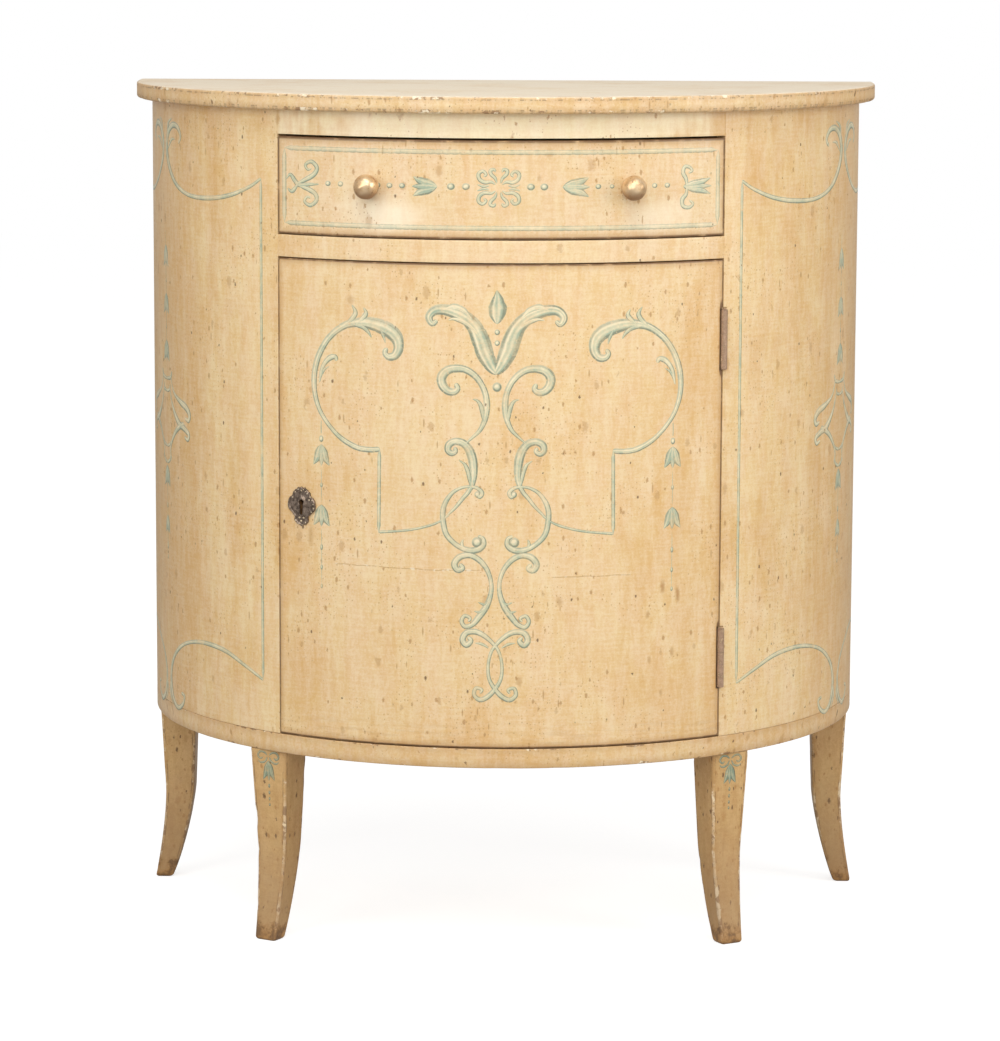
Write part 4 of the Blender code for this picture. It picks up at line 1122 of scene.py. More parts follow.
@dataclass(frozen=True)
class PhotographCamera:
    """The camera that the photograph was taken with, as solved from the cabinet's measured edges."""

    place: Triple = (0.06423, -4.19323, 1.02875)
    yaw: float = 0.0157
    pitch: float = 0.1453
    roll: float = 0.0037
    focal_px: float = 4147.8
    long_side_px: float = 1041.0
    sensor: float = 36.0

    def build(self) -> None:
        """Makes the camera and hands it to the scene."""
        ahead = Vector((
            -math.sin(self.yaw) * math.cos(self.pitch), math.cos(self.yaw) * math.cos(self.pitch),
            -math.sin(self.pitch),
        ))
        level = Vector((math.cos(self.yaw), math.sin(self.yaw), 0))
        rise = level.cross(ahead)
        right = level * math.cos(self.roll) + rise * math.sin(self.roll)
        up = rise * math.cos(self.roll) - level * math.sin(self.roll)
        data = bpy.data.cameras.new("photograph_camera")
        data.sensor_width = self.sensor
        data.lens = self.focal_px * self.sensor / self.long_side_px
        data.clip_start, data.clip_end = 0.1, 50.0
        camera = stand("photograph_camera", data)
        turn = Matrix((right, up, -ahead)).transposed().to_4x4()
        camera.matrix_world = Matrix.Translation(self.place) @ turn
        bpy.context.scene.camera = camera
        LOG.info("camera placed")


@dataclass(frozen=True)
class SoftLight:
    """A large soft lamp that points at a spot."""

    name: str
    place: Triple
    target: Triple
    size: Spot
    watts: float
    tint: Colour

    def build(self) -> None:
        """Makes the lamp."""
        data = bpy.data.lights.new(self.name, "AREA")
        data.shape = "RECTANGLE"
        data.size, data.size_y = self.size
        data.energy = self.watts
        data.color = self.tint
        aim = (Vector(self.target) - Vector(self.place)).to_track_quat("-Z", "Y")
        stand(self.name, data).matrix_world = Matrix.Translation(self.place) @ aim.to_matrix().to_4x4()


@dataclass(frozen=True)
class Studio:
    """The plain white studio: a floor, an even sky and soft lamps."""

    floor_half: float = 9.0
    sky: float = 0.5
    floor_colour: Colour = (0.5, 0.5, 0.5)
    floor_glow: float = 0.745
    lights: tuple[SoftLight, ...] = (
        SoftLight("front_light", (0.15, -3.9, 2.1), (0.0, 0.0, 0.5), (2.4, 1.4), 37.0, (1.0, 0.985, 0.95)),
        SoftLight("left_light", (-1.4, -1.55, 1.3), (0.0, 0.0, 0.6), (1.0, 1.3), 11.5, (1.0, 0.985, 0.95)),
        SoftLight("right_light", (2.1, -1.05, 1.25), (0.0, 0.0, 0.6), (1.0, 1.3), 17.5, (1.0, 0.98, 0.94)),
        SoftLight("top_light", (0.0, -1.3, 2.7), (0.0, 0.0, 0.6), (2.0, 1.2), 24.0, (1.0, 0.99, 0.965)),
    )

    def build(self) -> None:
        """Makes the floor, the sky and the lamps."""
        scene = bpy.context.scene
        scene.view_settings.view_transform = "Standard"
        g = Graph("studio_sky", sky=True)
        seen = g.ray("Camera").highest(g.ray("Transmission"))
        inputs = {"Color": (1, 1, 1, 1), "Strength": seen.ramp(0.0, 1.0, self.sky, 1.0)}
        scene.world = g.finish(g.node("ShaderNodeBackground", None, inputs))
        self._build_floor()
        for light in self.lights:
            light.build()
        LOG.info("studio set")

    def _build_floor(self) -> None:
        """A white floor that keeps the cabinet's soft shadow."""
        half = self.floor_half
        mesh = bpy.data.meshes.new("studio_floor")
        corners = [(x * half, y * half, 0) for x, y in ((-1, -1), (1, -1), (1, 1), (-1, 1))]
        mesh.from_pydata(corners, [], [(0, 1, 2, 3)])
        g = Graph("studio_floor")
        glow = g.ray("Camera") * self.floor_glow
        diffuse = g.node("ShaderNodeBsdfDiffuse", None, {"Color": (*self.floor_colour, 1)})
        emit = g.node("ShaderNodeEmission", None, {"Color": (1, 1, 1, 1), "Strength": glow})
        mesh.materials.append(g.finish(g.node("ShaderNodeAddShader", None, {0: diffuse, 1: emit})))
        floor = stand("studio_floor", mesh)


@dataclass(frozen=True)
class HalfRoundBoard:
    """A half-round board with rounded, worn edges: the top and the base board."""

    name: str
    finish: Enum
    bottom: float
    top: float
    overhang: float
    upper_round: float
    lower_round: float
    chip_depth: float
    angle_steps: int = 168
    back_steps: int = 28
    round_steps: int = 4
    inner_rings: tuple[float, ...] = (0.006, 0.012, 0.02)
    chip_reach: float = 0.004
    chip_from: float = 0.22
    chip_scale: Triple = (45, 45, 60)

    def _outline(self, inset: float) -> list[tuple[Spot, Spot]]:
        """Draws the plan's outline, moved in.

        Args:
            inset: How far it is moved in.

        Returns:
            Each point, with the way out at it.
        """
        reach = PLAN.radius + self.overhang - inset
        back = PLAN.back_y - inset
        spots = []
        for i in range(self.angle_steps + 1):
            angle = -QUARTER + math.pi * i / self.angle_steps
            out = (math.sin(angle), -math.cos(angle))
            spots.append(((reach * out[0], PLAN.centre_y + reach * out[1]), out))
        spots.append(((reach, back), (DIAGONAL, DIAGONAL)))
        for i in range(1, self.back_steps):
            spots.append(((reach - 2 * reach * i / self.back_steps, back), (0.0, 1.0)))
        spots.append(((-reach, back), (-DIAGONAL, DIAGONAL)))
        return spots

    def _profile(self) -> list[Triple]:
        """Draws the edge's section from the upper face round to the lower.

        Returns:
            Each point's inset, height and distance to an edge.
        """
        rows = [(d, self.top, d) for d in reversed(self.inner_rings)]
        for radius, height, sign in ((self.upper_round, self.top, -1), (self.lower_round, self.bottom, 1)):
            arc = []
            for i in range(self.round_steps + 1):
                turn = QUARTER * i / self.round_steps
                inset = radius * (1 - math.sin(turn))
                drop = radius * (1 - math.cos(turn))
                arc.append((inset, height + sign * drop, radius / 4))
            rows += arc if sign < 0 else arc[::-1]
            if sign < 0:
                rows.append((0.0, (self.top + self.bottom) / 2, (self.top - self.bottom) / 3))
        return rows + [(d, self.bottom, d) for d in self.inner_rings]

    def build(self, node: str) -> None:
        """Builds the board in place of its plain one.

        Args:
            node: The plain board's node.
        """
        draft = Draft()
        rings = []
        for inset, height, edge in self._profile():
            depth = self.chip_depth if edge < self.chip_reach else 0.0
            ring = []
            for (x, y), out in self._outline(inset):
                chip = depth * chipping((x, y, height), self.chip_scale, self.chip_from)
                spot = Vector((x - out[0] * chip, y - out[1] * chip, height))
                ring.append(draft.add(spot, **{EDGE_NAME: edge}))
            rings.append(ring)
        draft.loft(rings[::-1])
        draft.faces += [tuple(rings[0]), tuple(reversed(rings[-1]))]
        settle(draft.object(self.name, self.finish, 50), "carcass", node, node)


def chipping(spot: Triple, scale: Triple, start: float) -> float:
    """How deep an edge is chipped at a place, by noise of a scale along each axis above its start."""
    return max(0.0, noise.noise(Vector([x * size for x, size in zip(spot, scale)])) - start)


@dataclass(frozen=True)
class Case:
    """The fixed case: top, base, rails, curved side panels and the bare wood inside and behind."""

    skin: float = 0.014
    rail_depth: float = 0.0383
    arris: float = 0.0003
    joint_gap: float = 0.00003
    panel_steps: Triple = (0.01, 0.014, 0.014)
    rail_steps: Triple = (0.01, 0.012, 0.006)
    mid_rail: Spot = (0.694, 0.7158)
    top_rail: Spot = (0.8143, 0.8382)
    seat: float = 0.0003

    def build(self) -> None:
        """Builds every painted board of the case and dresses the rest."""
        HalfRoundBoard(
            "cabinet_top", Paint.TOP, bottom=PLAN.top_underside, top=PLAN.height, overhang=0.016,
            upper_round=0.0024, lower_round=0.0028, chip_depth=0.0024,
        ).build("top")
        HalfRoundBoard(
            "cabinet_base", Paint.BASE, bottom=PLAN.leg_top, top=PLAN.base_top, overhang=0.0,
            upper_round=0.0008, lower_round=0.0016, chip_depth=0.002,
        ).build("base_board")
        self._build_rails()
        self._build_side_panels()
        self._dress_inside()

    def _build_rails(self) -> None:
        """The rails over the drawer and over the door."""
        end = PLAN.opening_run - self.joint_gap
        for name, (low, high), finish in (
            ("middle_rail", self.mid_rail, Paint.FRONT_SHEEN), ("top_rail", self.top_rail, Paint.HEAD_SHEEN),
        ):
            spans = ((-end, end), (0.0, self.rail_depth), (low, high))
            rail = rounded_board(f"painted_{name}", finish, spans, self.arris, self.rail_steps)
            settle(rail, "carcass", name, name)

    def _build_side_panels(self) -> None:
        """The curved panels at both sides, with the hinge recesses in the right one."""
        start = PLAN.opening_run + self.joint_gap
        low, high = PLAN.base_top + self.seat, PLAN.top_underside - self.seat
        for side, sign in SIDES:
            ends = tuple(sorted((sign * start, sign * PLAN.end_run)))
            spans = (ends, (0.0, self.skin), (low, high))
            panel = rounded_board(f"painted_{side}_side", Paint.SIDE, spans, self.arris, self.panel_steps)
            if sign > 0:
                carve(panel, HINGES.recesses(1))
            settle(panel, "carcass", f"{side}_side_panel", f"{side}_side_panel")

    def _dress_inside(self) -> None:
        """Bare wood on the posts, back, boards, bearers and stops."""
        for name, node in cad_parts.items():
            if "hinge" in name or name == "strike_plate":
                continue
            if name.startswith("back_board") or name.endswith("post"):
                dress(node, Wood.UPRIGHT)
            elif name in ("dust_board", "shelf"):
                dress(node, Wood.ACROSS)
            elif name.endswith(("bearer", "guide", "kicker", "stop")):
                dress(node, Wood.DEEP)


def dress(node: bpy.types.Object, finish: Enum) -> None:
    """Gives a carried node its material and shades it smooth except at its real edges.

    Args:
        node: The node's object.
        finish: Its finish.
    """
    node.data.materials.clear()
    node.data.materials.append(FINISHES.get(finish))
    node.data.polygons.foreach_set("material_index", [0] * len(node.data.polygons))
    node.data.shade_smooth()
    node.data.set_sharp_from_angle(angle=math.radians(SHARP_DEGREES))


@dataclass(frozen=True)
class SabreLegs:
    """The four square sabre legs, lofted through rounded sections that splay to the foot."""

    angles: tuple[tuple[str, float, float], ...] = (
        ("front_left_leg", -0.6969, 0.165), ("front_right_leg", 0.6969, -0.165),
        ("rear_left_leg", -QUARTER, 0.0), ("rear_right_leg", QUARTER, 0.0),
    )
    height: float = 0.1952
    top_width: float = 0.043
    top_depth: float = 0.038
    foot_width: float = 0.0242
    foot_depth: float = 0.0177
    setback: float = 0.0035
    lean: float = 0.0095
    kick: float = 0.017
    kick_share: float = 0.51
    kick_curve: float = 1.46
    taper_curve: float = 0.7
    corner: float = 0.002
    foot_round: float = 0.0032
    rows: int = 46
    foot_rows: int = 4
    face_steps: int = 7
    corner_turns: Spot = (0.3, 0.7)
    chip_depth: float = 0.0016
    chip_reach: float = 0.0012
    chip_from: float = 0.1
    chip_scale: Triple = (90, 90, 70)
    chip_shift: float = 7 / 90
    least_edge: float = 0.0004
    least_foot: float = 0.0002

    def place(self, angle: float, turn: float) -> Matrix:
        """A leg's place on the floor, turned about the middle of its head."""
        middle = Matrix.Translation((0, self.setback + self.top_depth / 2, 0))
        return PLAN.rim(angle) @ middle @ Matrix.Rotation(turn, 4, "Z") @ middle.inverted()

    def section(self, share: float) -> Triple:
        """The leg's section at a height.

        Args:
            share: The share of the leg's height.

        Returns:
            The half width, the outer face's depth and the inner face's.
        """
        half = (self.foot_width + (self.top_width - self.foot_width) * share) / 2
        kick = max(0.0, 1 - share / self.kick_share) ** self.kick_curve
        outer = self.setback + self.lean * (1 - share) - self.kick * kick
        depth = self.foot_depth + (self.top_depth - self.foot_depth) * share**self.taper_curve
        return half, outer, outer + depth

    def _ring(self, half: float, outer: float, inner: float) -> list[Triple]:
        """Draws a rounded rectangle.

        Args:
            half: Its half width.
            outer: The outer face's depth.
            inner: The inner face's depth.

        Returns:
            Each point's place across, its depth and its distance to the nearest corner.
        """
        corner = self.corner
        spots = []
        sides = (
            ((-half, outer), (1, 0), 2 * half), ((half, outer), (0, 1), inner - outer),
            ((half, inner), (-1, 0), 2 * half), ((-half, inner), (0, -1), inner - outer),
        )
        for (x, y), (dx, dy), length in sides:
            flat = length - 2 * corner
            for i in range(self.face_steps + 1):
                share = (1 - math.cos(math.pi * i / self.face_steps)) / 2
                reach = corner + flat * share
                spots.append((x + dx * reach, y + dy * reach, min(flat * share, flat * (1 - share))))
            for turn in self.corner_turns:
                angle = QUARTER * turn
                cx, cy = x + dx * (length - corner) - dy * corner, y + dy * (length - corner) + dx * corner
                spots.append((
                    cx + corner * (dy * math.cos(angle) + dx * math.sin(angle)),
                    cy + corner * (-dx * math.cos(angle) + dy * math.sin(angle)), 0.0,
                ))
        return spots

    def build(self) -> None:
        """Builds the four legs in place of their plain ones."""
        for name, angle, turn in self.angles:
            place = self.place(angle, turn)
            draft = Draft()
            rings = []
            for row in range(self.rows + 1):
                height = self._row_height(row)
                half, outer, inner = self.section(height / self.height)
                middle, tuck = (outer + inner) / 2, self._tuck(height)
                ring = []
                for x, y, edge in self._ring(half - tuck, outer + tuck, inner - tuck):
                    seed = (x + angle * self.chip_shift, y, height)
                    depth = self.chip_depth if edge < self.chip_reach else 0.0
                    chip = depth * chipping(seed, self.chip_scale, self.chip_from)
                    spot = Vector((x, y, height)) + Vector((-x, middle - y, 0)).normalized() * chip
                    low = min(edge + self.least_edge, height + self.least_foot)
                    ring.append(draft.add(place @ spot, **{EDGE_NAME: low}))
                rings.append(ring)
            draft.loft(rings)
            draft.faces += [tuple(reversed(rings[0])), tuple(rings[-1])]
            settle(draft.object(f"painted_{name}", Paint.LEG, 50), "carcass", name, name)

    def _row_height(self, row: int) -> float:
        """The height of a row, with rows close together at the foot.

        Args:
            row: The row's number, from the floor up.

        Returns:
            The height.
        """
        if row <= self.foot_rows:
            return self.foot_round * (1 - math.cos(QUARTER * row / self.foot_rows))
        share = (row - self.foot_rows) / (self.rows - self.foot_rows)
        return self.foot_round + (self.height - self.foot_round) * share

    def _tuck(self, height: float) -> float:
        """How far the foot's lower edge is rounded in at a height."""
        if height >= self.foot_round:
            return 0.0
        return self.foot_round - math.sqrt(self.foot_round**2 - (self.foot_round - height) ** 2)

    def face_spot(self, place: Matrix, across: float, height: float, lift: float) -> Vector:
        """A point on the front face of a leg."""
        _, outer, _ = self.section(height / self.height)
        return place @ Vector((across, outer - lift, height))


@dataclass(frozen=True)
class Hinges:
    """The two butt hinges: their recesses in the wood, iron leaves, pins and slotted screws."""

    angle: float = 0.6360892
    proud: float = 0.0014
    length: float = 0.059
    bottoms: tuple[tuple[str, float], ...] = (("upper", 0.5843), ("lower", 0.2655))
    knuckle_radius: float = 0.0034
    leaf_width: float = 0.022
    leaf_reach: float = 0.0024
    leaf_play: float = 0.0003
    play: float = 0.0009
    end_room: float = 0.0036
    end_rise: float = 0.0008
    hole_depth: float = 0.01364
    hole_shares: Triple = (0.14, 0.5, 0.86)
    screw_seat: float = 0.0004
    screw_radius: float = 0.0021
    screw_height: float = 0.0009
    screw_turns: Spot = (0.7, 9.0)

    def axis(self, height: float) -> Matrix:
        """The hinge's axis at a height, with +Y pointing into the cabinet."""
        return PLAN.rim(self.angle, height, PLAN.radius + self.proud)

    def recesses(self, sign: int) -> list[bpy.types.Object]:
        """Makes the cutters for one side.

        Args:
            sign: 1 for the case and -1 for the door.

        Returns:
            The cutters.
        """
        tools = []
        for _, bottom in self.bottoms:
            middle = bottom + self.length / 2
            depth = self.leaf_width + self.leaf_play
            seat = self.axis(middle) @ Matrix.Translation((sign * self.leaf_reach / 2, depth / 2, 0))
            tools.append(block((self.leaf_reach, depth, self.length + 2 * self.leaf_play), seat))
            radius = self.knuckle_radius + self.play
            tools.append(rod(radius, self.length + self.end_room, self.axis(middle + self.end_rise)))
        return tools

    def build(self) -> None:
        """Dresses the leaves and pins and adds the screws."""
        for level, bottom in self.bottoms:
            dress(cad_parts[f"{level}_hinge_pin"], Metal.IRON)
            for part, body, sign in (("case_leaf", "carcass", 1), ("door_leaf", "door", -1)):
                leaf = f"{level}_hinge_{part}"
                dress(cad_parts[leaf], Metal.IRON)
                for number, share in enumerate(self.hole_shares, 1):
                    seat = Matrix.Translation((sign * self.screw_seat, self.hole_depth, 0))
                    facing = Matrix.Rotation(-sign * QUARTER, 4, "Y")
                    place = self.axis(bottom + self.length * share) @ seat @ facing
                    turn = self.screw_turns[0] * number + self.screw_turns[1] * bottom
                    name = f"{leaf}_screw_{number}"
                    settle(screw_head(name, self.screw_radius, self.screw_height, turn, place), body, leaf)


def screw_head(
    name: str, radius: float, height: float, turn: float, place: Matrix,
    section: Spots = ((1.0, -0.6), (1.0, 0.45), (0.86, 0.72), (0.6, 0.9), (0.3, 1.0)),
    slot: Spot = (0.2, 0.55), sides: int = 24,
) -> bpy.types.Object:
    """An iron screw's domed head with its slot, facing +Z of its place.

    Args:
        name: The piece's name.
        radius: The head's radius.
        height: The head's height.
        turn: How far the slot is turned.
        place: Where the head sits.
        section: The dome's section, as shares of the radius and the height.
        slot: The slot's half width as a share of the radius, and its depth as a share of the height.
        sides: The number of its sides.

    Returns:
        The object.
    """
    draft = Draft()
    rings = []
    for share, rise in section:
        ring = []
        for way in around(sides):
            x, y = radius * share * way[0], radius * share * way[1]
            groove = slot[1] if rise > 0.5 and abs(y) < radius * slot[0] else 0.0
            spot = Vector((x, y, height * (rise - groove)))
            ring.append(draft.add(place @ Matrix.Rotation(turn, 4, "Z") @ spot))
        rings.append(ring)
    draft.loft(rings)
    draft.fan(draft.add(place @ Vector((0, 0, height * (1 - slot[1])))), rings[-1])
    draft.faces.append(tuple(reversed(rings[0])))
    return draft.object(name, Metal.IRON, 30)


HINGES = Hinges()


def keyhole_outline(
    radius: float, half_slot: float, drop: float, steps: int = 30, neck: float = 0.6, foot: float = 1.03
) -> list[Spot]:
    """A keyhole seen from the front, as evenly spread points that start at the right.

    Args:
        radius: The round part's radius.
        half_slot: Half the slot's width.
        drop: How far the slot reaches below the round part's middle.
        steps: The number of steps round the round part.
        neck: The share of the drop at which the slot has a point on each side.
        foot: The share of the drop that the slot's rounded end reaches.

    Returns:
        The points, anticlockwise.
    """
    slot_turn = math.asin(half_slot / radius)
    start, end = slot_turn - QUARTER, 3 * QUARTER - slot_turn
    turns = [start + (end - start) * i / steps for i in range(steps + 1)]
    spots = [(radius * math.cos(turn), radius * math.sin(turn)) for turn in turns]
    left = [(-half_slot, -drop * neck), (-half_slot, -drop)]
    return spots + left + [(0.0, -drop * foot), (half_slot, -drop), (half_slot, -drop * neck)]


@dataclass(frozen=True)
class Door:
    """The bowed door with its lock, keyhole and hinge recesses."""

    thickness: float = 0.02
    low: float = 0.216
    high: float = 0.6928
    arris: float = 0.0012
    steps: Triple = (0.01, 0.01, 0.012)
    keyhole_angle: float = -0.5563595
    keyhole_height: float = 0.45154
    keyhole_radius: float = 0.0027
    keyhole_start: float = -0.005
    keyhole_depth: float = 0.03
    slot_half: float = 0.0018
    slot_drop: float = 0.0118
    lock_left: float = 0.0562
    lock_right: float = 0.0203
    lock_outer: float = 0.0162
    lock_inner: float = 0.0285
    lock_above: float = 0.0263
    lock_below: float = 0.0203
    pocket_depth: float = 0.01
    screws: Spots = ((-0.02, 0.021), (0.015, 0.021), (-0.02, -0.016), (0.015, -0.016))
    screw_radius: float = 0.0024
    screw_height: float = 0.001
    screw_turn: float = 0.9

    def keyhole_place(self) -> Matrix:
        """The middle of the keyhole on the door's face."""
        return PLAN.rim(self.keyhole_angle, self.keyhole_height)

    def build(self) -> None:
        """Builds the door panel with its recesses and dresses the lock."""
        spans = ((-PLAN.front_run, PLAN.front_run), (0.0, self.thickness), (self.low, self.high))
        panel = rounded_board("painted_door", Paint.DOOR, spans, self.arris, self.steps)
        carve(panel, HINGES.recesses(-1) + [self._lock_pocket(), self._keyhole()])
        settle(panel, "door", "door_panel", "door_panel")
        dress(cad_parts["lock_case"], Metal.BLACK)
        dress(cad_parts["lock_bolt"], Metal.BRASS)
        dress(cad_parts["strike_plate"], Metal.BRASS)
        inner = PLAN.rim(self.keyhole_angle, self.keyhole_height, PLAN.radius - self.lock_inner)
        for number, (x, z) in enumerate(self.screws, 1):
            place = inner @ Matrix.Translation((x, 0, z)) @ Matrix.Rotation(-QUARTER, 4, "X")
            turn = number * self.screw_turn
            head = screw_head(f"lock_screw_{number}", self.screw_radius, self.screw_height, turn, place)
            settle(head, "door", "lock_case")

    def _lock_pocket(self) -> bpy.types.Object:
        """Makes the cutter of the lock's pocket, which is open at the door's edge.

        Returns:
            The cutter.
        """
        across, up = (self.lock_right - self.lock_left) / 2, (self.lock_above - self.lock_below) / 2
        middle = Matrix.Translation((across, self.lock_outer + self.pocket_depth / 2, up))
        size = (self.lock_left + self.lock_right, self.pocket_depth, self.lock_above + self.lock_below)
        return block(size, self.keyhole_place() @ middle)

    def _keyhole(self) -> bpy.types.Object:
        """Makes the cutter of the keyhole through the panel.

        Returns:
            The cutter.
        """
        shape = bmesh.new()
        outline = keyhole_outline(self.keyhole_radius, self.slot_half, self.slot_drop)
        face = shape.faces.new([shape.verts.new((x, self.keyhole_start, z)) for x, z in outline])
        moved = bmesh.ops.extrude_face_region(shape, geom=[face])["geom"]
        verts = [item for item in moved if isinstance(item, bmesh.types.BMVert)]
        bmesh.ops.translate(shape, vec=(0, self.keyhole_depth, 0), verts=verts)
        bmesh.ops.recalc_face_normals(shape, faces=shape.faces)
        return cutter(shape, self.keyhole_place())


DOOR = Door()


def ray_reach(outline: Sequence[Spot], centre: Spot, way: Spot) -> float:
    """How far an outline is from a place inside it, in one direction.

    Args:
        outline: The outline's points.
        centre: The place.
        way: The direction, one long.

    Returns:
        The distance.
    """
    dx, dy = way
    for (ax, ay), (bx, by) in zip(outline, [*outline[1:], outline[0]]):
        ax, ay, bx, by = ax - centre[0], ay - centre[1], bx - centre[0], by - centre[1]
        left, right = dx * ay - dy * ax, dx * by - dy * bx
        if left * right <= 0 and left != right:
            share = left / (left - right)
            reach = dx * (ax + (bx - ax) * share) + dy * (ay + (by - ay) * share)
            if reach > 0:
                return reach
    return 0.0


@dataclass(frozen=True)
class Escutcheon:
    """The cast plate round the keyhole, with its collar, its raised rim and its pale beads."""

    half_width: float = 0.0168
    half_height: float = 0.02
    drop: float = 0.004
    seat: float = 0.0003
    thickness: float = 0.0018
    middle: Spot = (0.0, -0.003)
    steps: int = 144
    outline_shares: Spots = (
        (0.0, 1.0), (0.12, 0.93), (0.24, 0.96), (0.33, 0.86), (0.44, 0.84), (0.5, 0.76), (0.6, 0.72),
        (0.62, 0.6), (0.7, 0.5), (0.84, 0.44), (0.95, 0.28), (1.0, 0.06), (0.97, -0.1), (0.86, -0.22),
        (0.66, -0.36), (0.5, -0.5), (0.46, -0.58), (0.53, -0.66), (0.48, -0.76), (0.38, -0.82),
        (0.3, -0.9), (0.17, -0.9), (0.0, -1.0),
    )
    section: Spots = (
        (0.0, 0.0), (0.0, 0.85), (0.05, 1.15), (0.12, 1.25), (0.2, 1.0), (0.28, 0.66), (0.42, 0.6),
        (0.58, 0.72), (0.7, 0.7), (0.78, 0.62), (0.85, 0.92), (0.9, 1.05), (0.95, 0.98), (0.985, 0.72),
        (1.0, 0.4), (1.0, 0.0),
    )
    cast_shares: Spot = (0.2, 0.98)
    cast_scale: float = 420.0
    cast_depth: float = 0.16
    beads: tuple[Triple, ...] = (
        (10.8, 6.0, 1.0), (9.6, 3.0, 1.0), (14.6, -1.0, 1.1), (14.8, -5.0, 1.1), (12.4, -8.6, 1.0),
        (13.0, 3.0, 0.8), (-2.2, -15.2, 1.1), (3.0, -15.2, 1.1), (-6.6, -18.4, 0.9), (-0.3, -18.6, 1.2),
        (5.4, -19.6, 1.0), (-3.4, -21.4, 0.9), (1.2, -22.2, 0.9), (0.4, 11.6, 0.8), (2.9, 13.0, 0.8),
        (7.6, 9.4, 0.9), (-3.6, 13.0, 0.8), (-10.4, 4.6, 0.8), (5.6, 11.4, 0.8), (-7.0, 10.0, 0.8),
    )
    bead_rise: float = 1.25
    bead_section: Spots = ((0.5, 1.15), (0.85, 0.85), (1.0, 0.4))
    bead_sides: int = 12

    def _lift(self, x: float, z: float, rise: float) -> Vector:
        """A point over the door's face near the keyhole, from its place and its rise over the seat."""
        return DOOR.keyhole_place() @ Vector((x, -self.seat - rise * self.thickness, z))

    def build(self) -> None:
        """Builds the plate in place of its plain one, and the beads on it."""
        right = [(x * self.half_width, z * self.half_height - self.drop) for x, z in self.outline_shares]
        outline = right + [(-x, z) for x, z in reversed(right[1:-1])]
        hole = keyhole_outline(DOOR.keyhole_radius, DOOR.slot_half, DOOR.slot_drop)
        draft = Draft()
        rings: list[list[int]] = [[] for _ in self.section]
        for way in around(self.steps):
            near, far = ray_reach(hole, self.middle, way), ray_reach(outline, self.middle, way)
            for ring, (share, rise) in zip(rings, self.section):
                reach = near + (far - near) * share
                x, z = self.middle[0] + reach * way[0], self.middle[1] + reach * way[1]
                cast = 0.0
                if self.cast_shares[0] < share < self.cast_shares[1]:
                    spot = Vector((x * self.cast_scale, z * self.cast_scale, 3.0))
                    cast = noise.noise(spot) * self.cast_depth
                ring.append(draft.add(self._lift(x, z, rise + cast)))
        draft.loft([*rings, rings[0]])
        settle(draft.object("cast_escutcheon", Metal.BRONZE, 60), "door", "escutcheon", "escutcheon")
        self._build_beads()

    def _build_beads(self) -> None:
        """The pale beads along the rim and in the lower crest."""
        draft = Draft()
        for x, z, radius in self.beads:
            tip = draft.add(self._lift(x * MM, z * MM, self.bead_rise))
            rings = []
            for share, rise in self.bead_section:
                reach = radius * share
                ways = around(self.bead_sides)
                spots = [((x + reach * way[0]) * MM, (z + reach * way[1]) * MM) for way in ways]
                rings.append([draft.add(self._lift(*spot, rise)) for spot in spots])
            draft.fan(tip, rings[0])
            draft.loft(rings)
            draft.faces.append(tuple(reversed(rings[-1])))
        settle(draft.object("escutcheon_beads", Metal.BEAD, 60), "door", "escutcheon")


